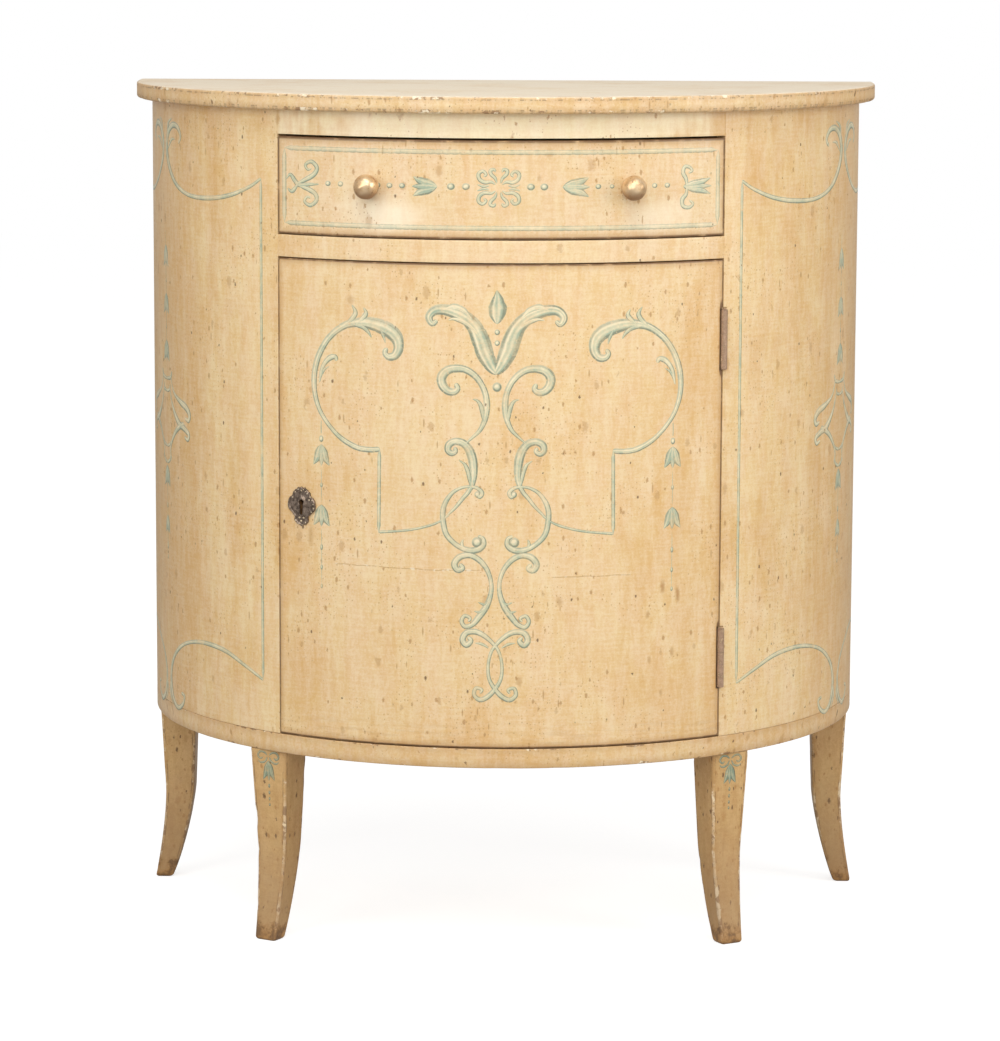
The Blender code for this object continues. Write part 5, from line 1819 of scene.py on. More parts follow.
@dataclass(frozen=True)
class Drawer:
    """The bowed drawer: its front, bare wood box and turned knobs."""

    thickness: float = 0.02
    low: float = 0.7168
    high: float = 0.8121
    arris: float = 0.0012
    steps: Triple = (0.008, 0.01, 0.01)
    knob_middle: float = 0.76655
    knob_run_x: float = 0.1257
    knob_radius: float = 0.0122
    knob_height: float = 0.024
    knob_seat: float = 0.0003
    knob_sides: int = 56
    spindle_radius: float = 0.0025
    spindle_end: float = -0.0265
    hole_radius: float = 0.0028
    hole_length: float = 0.06
    dent_depth: float = 0.00022
    dent_scale: float = 160
    dent_shift: float = 9.0
    least_radius: float = 0.004
    profile: Spots = (
        (0.0, 1.0), (0.12, 0.998), (0.3, 0.985), (0.46, 0.958), (0.6, 0.918), (0.72, 0.866), (0.82, 0.8),
        (0.9, 0.725), (0.96, 0.64), (0.99, 0.56), (1.0, 0.5), (0.985, 0.435), (0.93, 0.37), (0.83, 0.315),
        (0.7, 0.27), (0.56, 0.232), (0.46, 0.195), (0.41, 0.16), (0.395, 0.13), (0.42, 0.105), (0.5, 0.088),
        (0.62, 0.076), (0.69, 0.062), (0.71, 0.045), (0.71, 0.0),
    )

    def build(self) -> None:
        """Builds the front and the knobs, and dresses the box."""
        self._build_front()
        for side, sign in SIDES:
            self._build_knob(side, sign)
            dress(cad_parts[f"{side}_knob_nut"], Metal.BRASS)
            dress(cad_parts[f"{side}_drawer_side"], Wood.DEEP)
        dress(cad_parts["drawer_back"], Wood.ACROSS)
        dress(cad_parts["drawer_bottom"], Wood.ACROSS)

    def _knob_place(self, sign: int) -> Matrix:
        """The middle of a knob's seat, with +Z pointing out of the front."""
        angle = sign * math.asin(self.knob_run_x / PLAN.radius)
        return PLAN.rim(angle, self.knob_middle) @ Matrix.Rotation(QUARTER, 4, "X")

    def _build_front(self) -> None:
        """The bowed front with its knob holes."""
        spans = ((-PLAN.front_run, PLAN.front_run), (0.0, self.thickness), (self.low, self.high))
        front = rounded_board("painted_drawer_front", Paint.DRAWER, spans, self.arris, self.steps)
        carve(front, [rod(self.hole_radius, self.hole_length, self._knob_place(sign)) for _, sign in SIDES])
        settle(front, "drawer", "drawer_front", "drawer_front")

    def _build_knob(self, side: str, sign: int) -> None:
        """One turned knob on its spindle, a little dented by use.

        Args:
            side: "left" or "right".
            sign: -1 at the left and 1 at the right.
        """
        place = self._knob_place(sign)
        rows = [(r * self.knob_radius, z * self.knob_height + self.knob_seat) for r, z in self.profile]
        rows += [(self.spindle_radius, self.knob_seat), (self.spindle_radius, self.spindle_end)]
        shift = Vector((sign * self.dent_shift, 0, 0))
        draft = Draft()
        tip = draft.add(place @ Vector((0, 0, rows[0][1])))
        rings = []
        for radius, height in rows[1:]:
            ring = []
            for way in around(self.knob_sides):
                spot = Vector((radius * way[0], radius * way[1], height))
                dent = noise.noise(spot * self.dent_scale + shift) * self.dent_depth if height > MM else 0.0
                ring.append(draft.add(place @ (spot * (1 + dent / max(radius, self.least_radius)))))
            rings.append(ring)
        draft.fan(tip, rings[0])
        draft.loft(rings)
        draft.faces.append(tuple(rings[-1]))
        settle(draft.object(f"turned_{side}_knob", Metal.GILT, 60), "drawer", f"{side}_knob", f"{side}_knob")


@dataclass(frozen=True)
class Stroke:
    """One brush stroke: the places it runs through and its widths, evenly spread, in millimetres.

    Ribs from 0 to 1 draw veins along it, and tone moves it from cream, below 0, to dark green, above.
    """

    path: Spots
    widths: tuple[float, ...] = (2.2, 2.2)
    ribs: float = 0.0
    tone: float = 0.0
    straight_step: float = 8.0
    curve_step: float = 1.3

    def width(self, share: float) -> float:
        """The width at a place.

        Args:
            share: The share of the way along.

        Returns:
            The width.
        """
        reach = share * (len(self.widths) - 1)
        i = min(int(reach), len(self.widths) - 2)
        return self.widths[i] + (self.widths[i + 1] - self.widths[i]) * (reach - i)

    def flow(self) -> list[Vector]:
        """Draws a smooth line through the places.

        Returns:
            The line's points.
        """
        step = self.straight_step if len(self.path) == 2 else self.curve_step
        spots = [Vector(spot) for spot in self.path]
        spots = [2 * spots[0] - spots[1], *spots, 2 * spots[-1] - spots[-2]]
        line = []
        for before, start, end, after in zip(spots, spots[1:], spots[2:], spots[3:]):
            count = max(1, round((end - start).length / step))
            for i in range(count):
                t = i / count
                line.append(0.5 * (
                    2 * start + (end - before) * t + (2 * before - 5 * start + 4 * end - after) * t**2
                    + (3 * start - before - 3 * end + after) * t**3
                ))
        return line + [spots[-2]]


@dataclass(frozen=True)
class Dot:
    """A painted bead: its middle and its half sizes, in millimetres."""

    middle: Spot
    half: Spot
    tone: float = 0.1


@dataclass(frozen=True)
class Bell:
    """A bellflower that hangs or points from its stem to its tip, in millimetres."""

    stem: Spot
    tip: Spot
    half_width: float
    petals: tuple[tuple[Spots, tuple[float, ...]], ...] = (
        (((-0.12, 0.06), (-0.34, 0.34), (-0.55, 0.66), (-0.98, 0.96)), (0.3, 0.72, 0.66, 0.06)),
        (((0.12, 0.06), (0.34, 0.34), (0.55, 0.66), (0.98, 0.96)), (0.3, 0.72, 0.66, 0.06)),
        (((0.0, 0.0), (0.0, 0.4), (0.0, 0.75), (0.0, 1.0)), (0.42, 0.8, 0.62, 0.05)),
    )

    def strokes(self) -> list[Stroke]:
        """Draws the three petals.

        Returns:
            A stroke for each.
        """
        stem, tip = Vector(self.stem), Vector(self.tip)
        along = tip - stem
        out = Vector((along.y, -along.x)).normalized() * self.half_width
        return [
            Stroke(
                tuple(tuple(stem + along * y + out * x) for x, y in path),
                tuple(width * self.half_width for width in widths), 0.5, 0.45,
            )
            for path, widths in self.petals
        ]


Mark = Stroke | Dot | Bell


class Brushwork:
    """Painted ornament, laid as thin raised strokes on the face of a board."""

    light = Vector((-0.55, 0.835))
    section: tuple[Spot, ...] = ((-1.0, -0.03), (-0.62, 0.045), (0.0, 0.085), (0.62, 0.045), (1.0, -0.03))
    rings: tuple[Spot, ...] = ((0.45, 0.1), (0.75, 0.06), (1.0, -0.03))
    spokes: int = 16
    layer: float = 0.004
    layers: int = 7
    swell: float = 1.3
    shading: float = 0.85
    dot_lift: float = 0.12
    dot_glint: float = 0.3
    dot_shading: float = 1.2

    def __init__(self, place: Callable[[float, float, float], Vector], spans: tuple[Spot, Spot]) -> None:
        """Starts with no strokes.

        Args:
            place: Turns a run, a lift and a height into a point of space.
            spans: The board's low and high ends along its run and its height.
        """
        self.place = place
        self.spans = spans
        self.draft = Draft()
        self.count = 0

    def _add(self, spot: Vector, lift: float, shade: float, across: float, ribs: float) -> int:
        """Adds a point of a stroke.

        Args:
            spot: Its place, in millimetres.
            lift: How far it is raised, in millimetres.
            shade: How dark it is, from cream below 0 to dark green above.
            across: Its place across the stroke, from -1 to 1.
            ribs: How strongly the stroke is veined.

        Returns:
            The point's number.
        """
        run, height = spot.x * MM, spot.y * MM
        raised = (lift + self.layer * (self.count % self.layers)) * MM
        (left, right), (low, high) = self.spans
        edge = max(0.0, min(run - left, right - run, height - low, high - height))
        numbers = {EDGE_NAME: edge, SHADE_NAME: shade, ACROSS_NAME: across, RIBS_NAME: ribs}
        return self.draft.add(self.place(run, raised, height), **numbers)

    def lay(self, marks: Iterable[Mark], move: Callable[[Spot], Spot] = lambda spot: spot) -> None:
        """Lays marks.

        Args:
            marks: The marks, in the order of their laying.
            move: Moves each of their places.
        """
        for mark in marks:
            self.count += 1
            if isinstance(mark, Bell):
                self.lay([replace(s, path=tuple(move(p) for p in s.path)) for s in mark.strokes()])
            elif isinstance(mark, Dot):
                self._lay_dot(replace(mark, middle=move(mark.middle)))
            else:
                self._lay_stroke(replace(mark, path=tuple(move(p) for p in mark.path)))

    def _lay_dot(self, dot: Dot) -> None:
        """Paints a small dome, lit on one side.

        Args:
            dot: The dome.
        """
        middle = Vector(dot.middle)
        tip = self._add(middle, self.dot_lift, dot.tone - self.dot_glint, 0.0, 0.0)
        rings = []
        for reach, lift in self.rings:
            ring = []
            for way in map(Vector, around(self.spokes)):
                spot = middle + Vector((way.x * dot.half[0], way.y * dot.half[1])) * reach
                shade = dot.tone - self.dot_shading * reach * way.dot(self.light)
                ring.append(self._add(spot, lift, shade, reach, 0.0))
            rings.append(ring)
        self.draft.fan(tip, rings[0])
        self.draft.loft(rings)

    def _lay_stroke(self, stroke: Stroke) -> None:
        """Paints a low ribbon with round ends that swells and thins, lit on one side.

        Args:
            stroke: The ribbon.
        """
        line = stroke.flow()
        reach = [0.0]
        for a, b in zip(line, line[1:]):
            reach.append(reach[-1] + (b - a).length)
        last: list[int] = []
        for i, spot in enumerate(line):
            ahead = (line[min(i + 1, len(line) - 1)] - line[max(i - 1, 0)]).normalized()
            side = Vector((-ahead.y, ahead.x))
            share = reach[i] / reach[-1]
            half = stroke.width(share) / 2 * self.swell
            tail = min(reach[i], reach[-1] - reach[i]) / max(half, 0.3)
            if tail < 1:
                half *= math.sqrt(max(0.003, 1 - (1 - tail) ** 2))
            lit = side.dot(self.light)
            row = []
            for across, lift in self.section:
                shade = stroke.tone - self.shading * across * lit
                row.append(self._add(spot + side * half * across, lift, shade, across, stroke.ribs))
            if last:
                self.draft.bridge(last, row, closed=False)
            last = row

    def finish(self, name: str, finish: ScrollPaint, body: str, slot: str) -> None:
        """Makes the piece and lets it ride on its board."""
        piece = self.draft.object(name, finish, 80)
        settle(piece, body, slot)


def mirror(axis: float, sign: int = -1) -> Callable[[Spot], Spot]:
    """Moves a place that is given from an axis to one side of it."""
    return lambda spot: (axis + sign * spot[0], spot[1])


@dataclass(frozen=True)
class DoorOrnament:
    """The door's scrollwork. Half of it is given from the axis, and the other half mirrors it."""

    axis: float = -3.0
    lily: tuple[Mark, ...] = (
        Stroke(
            ((-1, 586), (4.7, 594), (11, 606.9), (15.4, 619.7), (20.6, 631.1), (28.9, 640), (39.1, 645.2),
            (50, 648.3), (60, 647.4), (65.8, 641), (62.5, 634.6), (57.5, 638)), (5, 11, 14, 15, 14, 12, 11,
            10, 9, 7.5, 6, 3.5), 1.0, 0.12,
        ),
        Stroke(((14.5, 618), (21, 629), (30, 636), (40, 639.5), (47, 638.5)), (1, 4, 5, 4, 0.8), 0.3, -0.1),
        Stroke(((24, 640), (32, 648), (42, 651), (52, 648)), (1, 5, 6, 1), 0.3, -0.2),
    )
    bud: tuple[Mark, ...] = (
        Stroke(((0, 635), (0, 643), (0.4, 652), (0.2, 661), (-0.6, 668)), (4, 13, 15, 9, 0.8), 0.8, 0.25),
        Dot((0, 627), (2.8, 3.0), -0.05),
        Dot((0, 616.5), (2.8, 3.0), -0.05),
        Dot((0, 573.5), (4.8, 5.0), 0.05),
    )
    scrolls: tuple[Mark, ...] = (
        Stroke(
            ((39.5, 577), (37.5, 571.5), (41.5, 568.3), (47.5, 569.5), (52.5, 575.3), (53.2, 582.5),
            (48.3, 588.8), (40.3, 591.2), (31.1, 590.6), (22.6, 586.1), (15.5, 578.3), (10.7, 568.3),
            (9, 558.2), (9.4, 548.2), (11.4, 539.6), (15.7, 531), (22.9, 523.8), (29.5, 518)), (3.5, 6, 7.5,
            8, 7, 6, 5.5, 5, 5, 5.5, 5, 4, 2.6, 1.2), 0.5, 0.05,
        ),
        Stroke(
            ((11.5, 538), (12.8, 548), (14.9, 555.5), (18.2, 560), (22.8, 561.5)), (1, 3.6, 4.2, 3, 0.7), 0,
            0.3,
        ),
        Stroke(
            ((40.5, 514.5), (39.2, 510.3), (43, 508), (46.8, 511), (45.6, 516.8), (39.5, 519.8), (32, 518.2),
            (26.3, 512.3), (23, 503.5), (21.7, 494), (21.6, 485), (23.3, 477), (27, 470), (31.8, 464.3),
            (39, 455.3), (49.6, 444.7)), (3, 5, 6, 6, 6.5, 7.5, 7.5, 6.5, 5, 4, 3.4, 3, 2.4, 1.4), 0.5, 0.1,
        ),
        Stroke(
            ((45, 447.5), (56, 440), (69.3, 435), (88.5, 430.7), (117, 427.6)), (1, 2.2, 2, 2, 2.4), 0, 0.3,
        ),
        Stroke(((23.5, 473), (26.5, 488), (30, 497), (36, 501.5)), (1, 3.6, 3.6, 0.7), 0, 0.35),
        Stroke(
            ((18.5, 469), (15.5, 465.5), (13.5, 470), (19, 474.6), (30, 475.2), (40.9, 470.3), (48.1, 461.6),
            (51.6, 452), (51.4, 440.4), (48.6, 428.8), (42, 420.8), (33.4, 415.1), (24.8, 412.6), (17, 413.8),
            (11.8, 418.3), (12.4, 424.5), (17.5, 427)), (3, 4, 3, 2.2, 2.6, 3.4, 4.2, 4.6, 4.8, 4.8, 4.6, 4.4,
            4.6, 5.4, 5.6, 4.4, 2.4), 0.2, 0.12,
        ),
        Dot((17.8, 468), (3.2, 3.6), 0.0),
        Dot((18.2, 420.8), (5.4, 5.6), -0.1),
        Stroke(((31, 414), (33, 419), (31.5, 424)), (1.5, 3, 0.6), 0, 0.2),
        Stroke(
            ((35.5, 399.5), (32, 395), (37.2, 393.2), (40.2, 399), (35.2, 405.8), (25.8, 408), (17, 404.2),
            (9.6, 396.2), (5.4, 386.9), (3.8, 376.8), (5.2, 366.6), (9.4, 356.4), (15.4, 347.6),
            (22.3, 339.4), (29.5, 337), (33, 342.5), (29.8, 347.8), (24.4, 345.2), (26.8, 341.8)), (3, 5, 5.8,
            5.6, 5.2, 5, 4.6, 4, 3.6, 3.8, 4.6, 5.6, 5.6, 5, 4.2, 3.6, 3.2, 2.2), 0.3, 0.1,
        ),
        Stroke(((6.5, 364), (10.5, 359.5), (17, 361.5)), (1, 2.6, 0.6), 0, 0.45),
        Stroke(((10, 355), (15, 351.5), (21, 352.8)), (1, 2.6, 0.6), 0, 0.4),
        Stroke(
            ((-27, 327), (-23.8, 323), (-28.4, 318.8), (-32, 324), (-28.4, 330.8), (-20.2, 332.2),
            (-12.2, 329.2), (-4, 322.6), (2.6, 314.4), (5.8, 305.4), (6.9, 295), (5.5, 284.9), (0.7, 276.1),
            (-6.5, 268), (-14.5, 264.4), (-20.4, 269.1), (-18.8, 275.8), (-12.8, 274.4), (-15, 270.4)), (3, 5,
            5.4, 5.2, 4.8, 4.4, 3.6, 2.8, 2.6, 2.6, 2.8, 3.2, 4, 4.4, 4.2, 3.6, 3, 2), 0.3, 0.1,
        ),
        Stroke(((-6, 316), (-13, 320), (-20, 321)), (1, 2.6, 0.6), 0, 0.1),
    )
    frame_part: tuple[Mark, ...] = (
        Stroke(
            ((108, 609.5), (110.6, 605), (107, 601), (100.6, 602.2), (96.6, 609.2), (97.8, 618.4),
            (104.5, 625.6), (114.2, 630), (125.4, 632.8), (137.7, 633.3), (150.8, 630.8), (163.1, 623.8),
            (173.8, 613.5), (182.2, 599.8), (187, 585.4), (188.3, 570.8), (186.2, 556.5), (180.6, 543),
            (171, 530.4), (158.1, 518.8), (141.5, 510.5), (127.5, 508.6), (115.6, 509.6)), (3.5, 6.5, 9, 12,
            12, 10, 7.5, 6, 5.5, 5.4, 5.6, 5.6, 5.2, 4.8, 4.2, 3.8, 3.8, 4.4, 4.8, 4.6, 4.2), 0.7, 0.05,
        ),
        Stroke(((147, 631.5), (135, 629.5), (128.5, 625), (124.5, 619)), (1, 4, 3.6, 0.7), 0, 0.35),
        Stroke(((154, 629), (146, 635.5), (141.6, 643), (145.6, 650.5)), (2, 4.6, 4.4, 0.6), 0.3, 0.1),
        Stroke(((141, 631), (134.4, 637), (130.4, 642.5), (133, 648.5)), (2, 4.6, 4.4, 0.6), 0.3, 0.1),
        Stroke(((116, 629), (112, 621), (110, 614)), (1, 3, 0.6), 0, 0.4),
        Stroke(
            ((182, 572), (178.5, 587), (171.5, 596), (164.3, 598.4), (162.2, 594.2)), (1, 3, 4, 5, 3.4), 0.2,
            0.0,
        ),
        Stroke(((181, 576), (177, 584.5), (170.5, 588.9)), (1, 2.8, 0.6), 0, 0.35),
        Stroke(((116.3, 511), (117, 426.4)), (3.0, 3.0), 0, 0.2),
        Stroke(((180, 535), (180.2, 528), (180, 521)), (0.8, 0.9, 0.8), 0, 0.3),
    )
    strings: tuple[Mark, ...] = (
        Dot((180, 516.5), (2.6, 3.6), 0.0),
        Bell((180, 511), (180, 489.5), 9.4),
        Dot((180, 470.5), (1.6, 2.8), 0.3),
        Bell((180, 451), (180, 429), 9.4),
        Dot((180, 408.5), (1.6, 3.4), 0.35),
        Dot((180, 388.5), (1.5, 3.0), 0.35),
        Dot((180, 369.5), (1.4, 2.6), 0.35),
    )
    stems: tuple[Mark, ...] = (
        Stroke(((180, 487), (180, 453)), (0.7, 0.7), 0, 0.3),
        Stroke(((180, 427), (180, 368)), (0.6, 0.5), 0, 0.3),
    )

    def build(self) -> None:
        """Lays the whole design in a few named pieces."""
        spans = ((-PLAN.front_run, PLAN.front_run), (DOOR.low, DOOR.high))
        finish = ScrollPaint("door_scroll_paint", Paint.DOOR.value)
        both = (mirror(self.axis, -1), mirror(self.axis, 1))
        for name, marks, moves in (
            ("door_lily", self.lily, both),
            ("door_bud_and_beads", self.bud, (mirror(self.axis + 1, 1),)),
            ("door_scrolls", self.scrolls, both),
            ("door_left_frame", self.frame_part, both[:1]),
            ("door_right_frame", self.frame_part, both[1:]),
            ("door_bellflowers", self.stems + self.strings, both),
        ):
            work = Brushwork(bent_lift, spans)
            for move in moves:
                work.lay(marks, move)
            work.finish(name, finish, "door", "door_panel")


def bent_lift(run: float, lift: float, height: float) -> Vector:
    """A point raised from a bent board's face."""
    return bent_place(run, -lift, height)


def line_box(box: tuple[float, float, float, float], width: float, tone: float) -> list[Stroke]:
    """Draws four lines round a box.

    Args:
        box: Its left, right, low and high sides.
        width: The lines' width.
        tone: Their tone.

    Returns:
        The lines.
    """
    left, right, low, high = box
    corners = [(left, high), (right, high), (right, low), (left, low)]
    return [Stroke(ends, (width, width), 0, tone) for ends in zip(corners, corners[1:] + corners[:1])]


@dataclass(frozen=True)
class DrawerOrnament:
    """The drawer's border, its row of beads and tulips and the scrolls in its middle and at its ends."""

    axis: float = -1.0
    middle_height: float = 767.0
    border: tuple[float, float, float, float] = (-226.5, 226.5, 727.7, 801.0)
    quarter_scroll: tuple[Mark, ...] = (
        Stroke(
            ((3, 3), (7.5, 5.5), (13.5, 5), (18.5, 8), (19.5, 13.2), (15.5, 15.8), (12.2, 12.6), (15, 10.4)),
            (1, 2.4, 3.2, 3.6, 3.4, 3, 2.6, 1.6), 0.2, 0.2,
        ),
        Stroke(
            ((2, 4), (3.5, 9), (7.5, 13), (8, 16.5), (4.4, 17.5), (3.2, 14.6)), (1, 2.4, 3, 3.2, 2.8, 1.6),
            0.2, 0.25,
        ),
        Stroke(((9, 2), (15, 1.2), (21, 3.2)), (1, 2.4, 0.6), 0, 0.3),
    )
    end_scrolls: tuple[Mark, ...] = (
        Stroke(
            ((-210.4, 766.5), (-200.7, 770.6), (-190.8, 776), (-187.3, 782.8), (-193.6, 788.4),
            (-200.6, 785.3), (-198.2, 780.7), (-193.6, 781.7)), (1.4, 3.6, 4.4, 4.2, 3.8, 3.2, 2.6, 1.6), 0.2,
            0.25,
        ),
        Stroke(
            ((-210.4, 765), (-198.9, 761.9), (-189.8, 757.6), (-187.8, 751.2), (-194.8, 745.7),
            (-201.8, 749.2), (-199, 753.7), (-194.4, 753)), (1.4, 3.6, 4.4, 4.2, 3.8, 3.2, 2.6, 1.6), 0.2,
            0.25,
        ),
        Stroke(
            ((-184.9, 766.8), (-197, 766), (-209.7, 765.9), (-218.8, 774.9), (-224, 770.5)), (1, 3, 4.4, 4,
            1), 0.3, 0.4,
        ),
        Stroke(((-209.7, 765.9), (-217, 758.6), (-222.6, 761.6)), (2, 4, 1), 0.3, 0.4),
        Stroke(
            ((190, 766), (189, 773.3), (185.6, 779.3), (187.2, 785.1), (192.3, 784.9), (195.8, 781.3),
            (191.4, 779.1)), (1.4, 3.4, 4, 3.6, 3, 2.6, 1.6), 0.2, 0.2,
        ),
        Stroke(
            ((190, 766), (189.2, 758.7), (184.9, 753.6), (185.9, 747.1), (192.8, 745.5), (197.2, 749.1),
            (192.7, 752.8)), (1.4, 3.4, 4, 3.6, 3, 2.6, 1.6), 0.2, 0.2,
        ),
    )
    end_bell: Bell = Bell((186, 766), (219, 766), 8.0)
    beads: tuple[tuple[float, float], ...] = (
        (-174.7, 2.8), (-160.7, 2.8), (-121.2, 2.9), (-108.8, 2.9), (-96.0, 2.9), (-47.5, 3.6), (-32.9, 3.6),
        (30.0, 3.6), (43.0, 3.6), (96.2, 2.7), (110.1, 2.2), (154.4, 2.7), (168.1, 2.8),
    )
    tulips: tuple[Bell, ...] = (
        Bell((-61.0, 767.5), (-86.0, 767.5), 9.6), Bell((61.0, 767.5), (88.0, 767.5), 9.6),
    )

    def build(self) -> None:
        """Lays the border and the design."""
        spans = ((-PLAN.front_run, PLAN.front_run), (DRAWER.low, DRAWER.high))
        finish = ScrollPaint("drawer_scroll_paint", Paint.DRAWER.value)
        border = Brushwork(bent_lift, spans)
        border.lay(line_box(self.border, 4.2, 0.15))
        faint = ScrollPaint("drawer_line_paint", Paint.DRAWER.value, strength=0.6)
        border.finish("drawer_border", faint, "drawer", "drawer_front")
        work = Brushwork(bent_lift, spans)
        for sign_x in (-1, 1):
            for sign_y in (-1, 1):
                work.lay(
                    self.quarter_scroll,
                    lambda s, x=sign_x, y=sign_y: (self.axis + x * s[0], self.middle_height + y * s[1]),
                )
        work.lay(self.end_scrolls + (self.end_bell,) + self.tulips)
        work.lay(Dot((run, self.middle_height + 0.8), (half * 1.15, half), 0.0) for run, half in self.beads)
        work.finish("drawer_scrollwork", finish, "drawer", "drawer_front")


@dataclass(frozen=True)
class SideOrnament:
    """A side panel's line frame with scrolled ends and the hanging design in its middle."""

    axis: float = 448.0
    squeeze_from: float = 50.0
    squeeze: float = 0.655
    frame_half: tuple[Mark, ...] = (
        Stroke(((-190.5, 770), (-190.5, 267)), (2.8, 2.8), 0, 0.2),
        Stroke(
            ((-191, 769.5), (-174, 760.3), (-144, 750.6), (-107, 745.8), (-67, 746.7), (-34, 756.6),
            (-13, 775), (-6.5, 793), (-13, 808), (-26, 815), (-40, 813.5), (-48, 804.5), (-42, 797)), (2.4,
            3.2, 3.8, 4.2, 4.2, 3.8, 3.8, 4.4, 6, 7, 6.5, 5, 3), 0.3, 0.15,
        ),
        Stroke(((-10, 790), (-22, 800), (-33, 801)), (1, 3.4, 0.8), 0, 0.2),
        Stroke(((-8, 800), (-12, 816), (-24, 822)), (1, 4, 0.8), 0, 0.2),
        Stroke(
            ((-191, 267), (-165, 278.1), (-135, 288.7), (-101, 292), (-69, 288.9), (-41, 280.2),
            (-18.5, 265.2), (-8.5, 247), (-10.5, 230.6), (-18, 219), (-31, 214), (-43.6, 219.6), (-48, 228.7),
            (-39.5, 231.2)), (2.4, 3, 3.6, 4.2, 4.2, 3.8, 3.4, 3.6, 4.2, 5, 5.6, 5, 4.2, 2.6), 0.3, 0.1,
        ),
        Stroke(((-9, 243), (-5, 228), (-14, 214)), (1, 4, 0.8), 0, 0.1),
    )
    lyre_half: tuple[Mark, ...] = (
        Stroke(
            ((-14, 560.3), (-17, 551), (-25, 541), (-42, 534), (-57, 529.5), (-65, 523), (-63, 516.5),
            (-55, 518)), (1.6, 2.4, 3, 4.4, 6.4, 6.4, 5, 3), 0.4, -0.05,
        ),
        Stroke(
            ((-10, 545), (-20, 527), (-37, 512), (-52, 507.5), (-63, 502.5), (-61, 496.5), (-53, 499)), (1.6,
            3, 5, 6.6, 6, 4.6, 2.6), 0.4, 0.0,
        ),
        Stroke(
            ((-52, 512), (-34, 505), (-20, 494), (-12, 482), (-15, 470)), (5, 5.5, 4.4, 3.2, 1.4), 0.3, 0.1,
        ),
        Stroke(((-18, 563), (-14, 556.5), (-6, 554.5), (0, 554)), (1.6, 3.6, 3.4, 2.6), 0.2, 0.2),
        Stroke(((-12, 549), (-9, 543), (0, 541)), (1.2, 3, 2.6), 0, 0.2),
        Stroke(((-13, 478), (-10, 470.5), (0, 466.5)), (1.2, 3.4, 3), 0, 0.15),
        Stroke(((-13, 490), (-9, 486), (0, 484)), (1.2, 3, 2.6), 0, 0.15),
    )
    string: tuple[Mark, ...] = (
        Stroke(((0, 706), (0, 573)), (0.7, 0.7), 0, 0.3),
        Stroke(((0, 463), (0, 372)), (0.7, 0.6), 0, 0.3),
        Bell((0, 692), (0, 668), 8.5),
        Dot((0, 655), (1.5, 2.6), 0.35),
        Bell((0, 642), (0, 620), 9.5),
        Dot((0, 607), (1.5, 2.6), 0.3),
        Bell((0, 594), (0, 571), 10.0),
        Bell((0, 464), (0, 441), 10.0),
        Dot((0, 422), (2.0, 3.6), 0.4),
        Bell((0, 412), (0, 392), 7.5),
        Dot((0, 380), (2.4, 4.5), -0.4),
        Dot((0, 368), (1.5, 2.6), 0.2),
    )

    def _move(self, side: int, half: int) -> Callable[[Spot], Spot]:
        """Moves places to a side panel. The far half is squeezed to fit ahead of the back edge.

        Args:
            side: -1 for the left panel and 1 for the right.
            half: -1 for the design's near half and 1 for its far half.

        Returns:
            The function that moves a place.
        """
        def moved(spot: Spot) -> Spot:
            """Moves one place.

            Args:
                spot: The place, from the design's axis.

            Returns:
                The place on the panel.
            """
            reach = -spot[0]
            if half > 0 and reach > self.squeeze_from:
                reach = self.squeeze_from + (reach - self.squeeze_from) * self.squeeze
            return side * (self.axis + half * reach), spot[1]
        return moved

    def build(self) -> None:
        """Lays both panels' designs."""
        finish = ScrollPaint("side_scroll_paint", Paint.SIDE.value)
        start = PLAN.opening_run + PLAN.edge_gap
        for side, sign in SIDES:
            ends = tuple(sorted((sign * start, sign * PLAN.end_run)))
            for name, marks, halves in (
                ("line_frame", self.frame_half, (-1, 1)), ("scrollwork", self.lyre_half, (-1, 1)),
                ("bellflowers", self.string, (-1,)),
            ):
                work = Brushwork(bent_lift, (ends, (PLAN.base_top, PLAN.top_underside)))
                for half in halves:
                    work.lay(marks, self._move(sign, half))
                work.finish(f"{side}_side_{name}", finish, "carcass", f"{side}_side_panel")


@dataclass(frozen=True)
class LegOrnament:
    """The small scrolls, the bellflower and the beads at the head of each front leg."""

    scrolls: tuple[Mark, ...] = (
        Stroke(
            ((1, 189.5), (5, 192.5), (10, 192.5), (12.5, 188.5), (9.5, 185.5), (6.5, 187.5)), (1, 1.8, 2, 2,
            1.8, 1), 0, 0.5,
        ),
        Stroke(((1, 188), (4, 183), (9.5, 181.5), (13, 184)), (1, 1.8, 1.8, 0.7), 0, 0.5),
    )
    string: tuple[Mark, ...] = (
        Bell((0, 184), (0, 163), 7.2),
        Dot((0, 158), (1.3, 2.4), 0.5),
        Dot((0, 151), (1.2, 2.2), 0.5),
        Dot((0, 144.5), (1.1, 2.0), 0.5),
        Dot((0, 138.5), (1.0, 1.8), 0.5),
    )

    def build(self) -> None:
        """Lays the design on both front legs."""
        legs = SabreLegs()
        finish = ScrollPaint(
            "leg_scroll_paint", Paint.LEG.value, (0.66, 0.6, 0.4), (0.44, 0.45, 0.3), (0.17, 0.27, 0.205),
            (0.115, 0.16, 0.115), 0.95,
        )
        spans = ((-legs.top_width / 2, legs.top_width / 2), (0.0, 1.0))
        for name, angle, turn in legs.angles[:2]:
            spot = legs.place(angle, turn)
            work = Brushwork(lambda x, lift, z, p=spot: legs.face_spot(p, x, z, lift), spans)
            for side in (-1, 1):
                work.lay(self.scrolls, mirror(0.0, side))
            work.lay(self.string)
            work.finish(f"{name}_scrollwork", finish, "carcass", name)


DRAWER = Drawer()


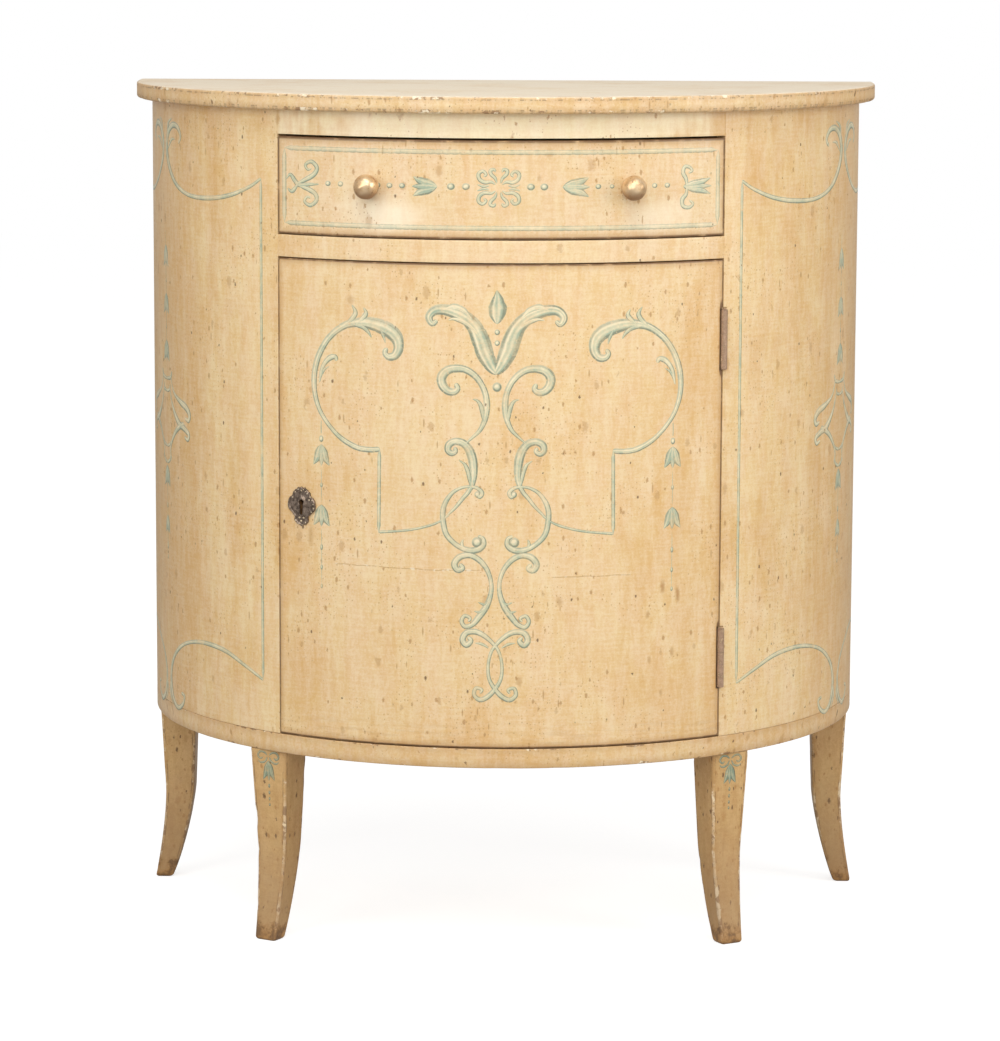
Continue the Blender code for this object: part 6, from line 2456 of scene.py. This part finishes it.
def main() -> None:
    """Builds the cabinet's look in order."""
    logging.basicConfig(level=logging.INFO, format="%(name)s: %(message)s")
    PhotographCamera().build()
    Studio().build()
    Case().build()
    SabreLegs().build()
    HINGES.build()
    DRAWER.build()
    DOOR.build()
    DoorOrnament().build()
    DrawerOrnament().build()
    SideOrnament().build()
    LegOrnament().build()
    Escutcheon().build()


if __name__ == "__main__":
    main()
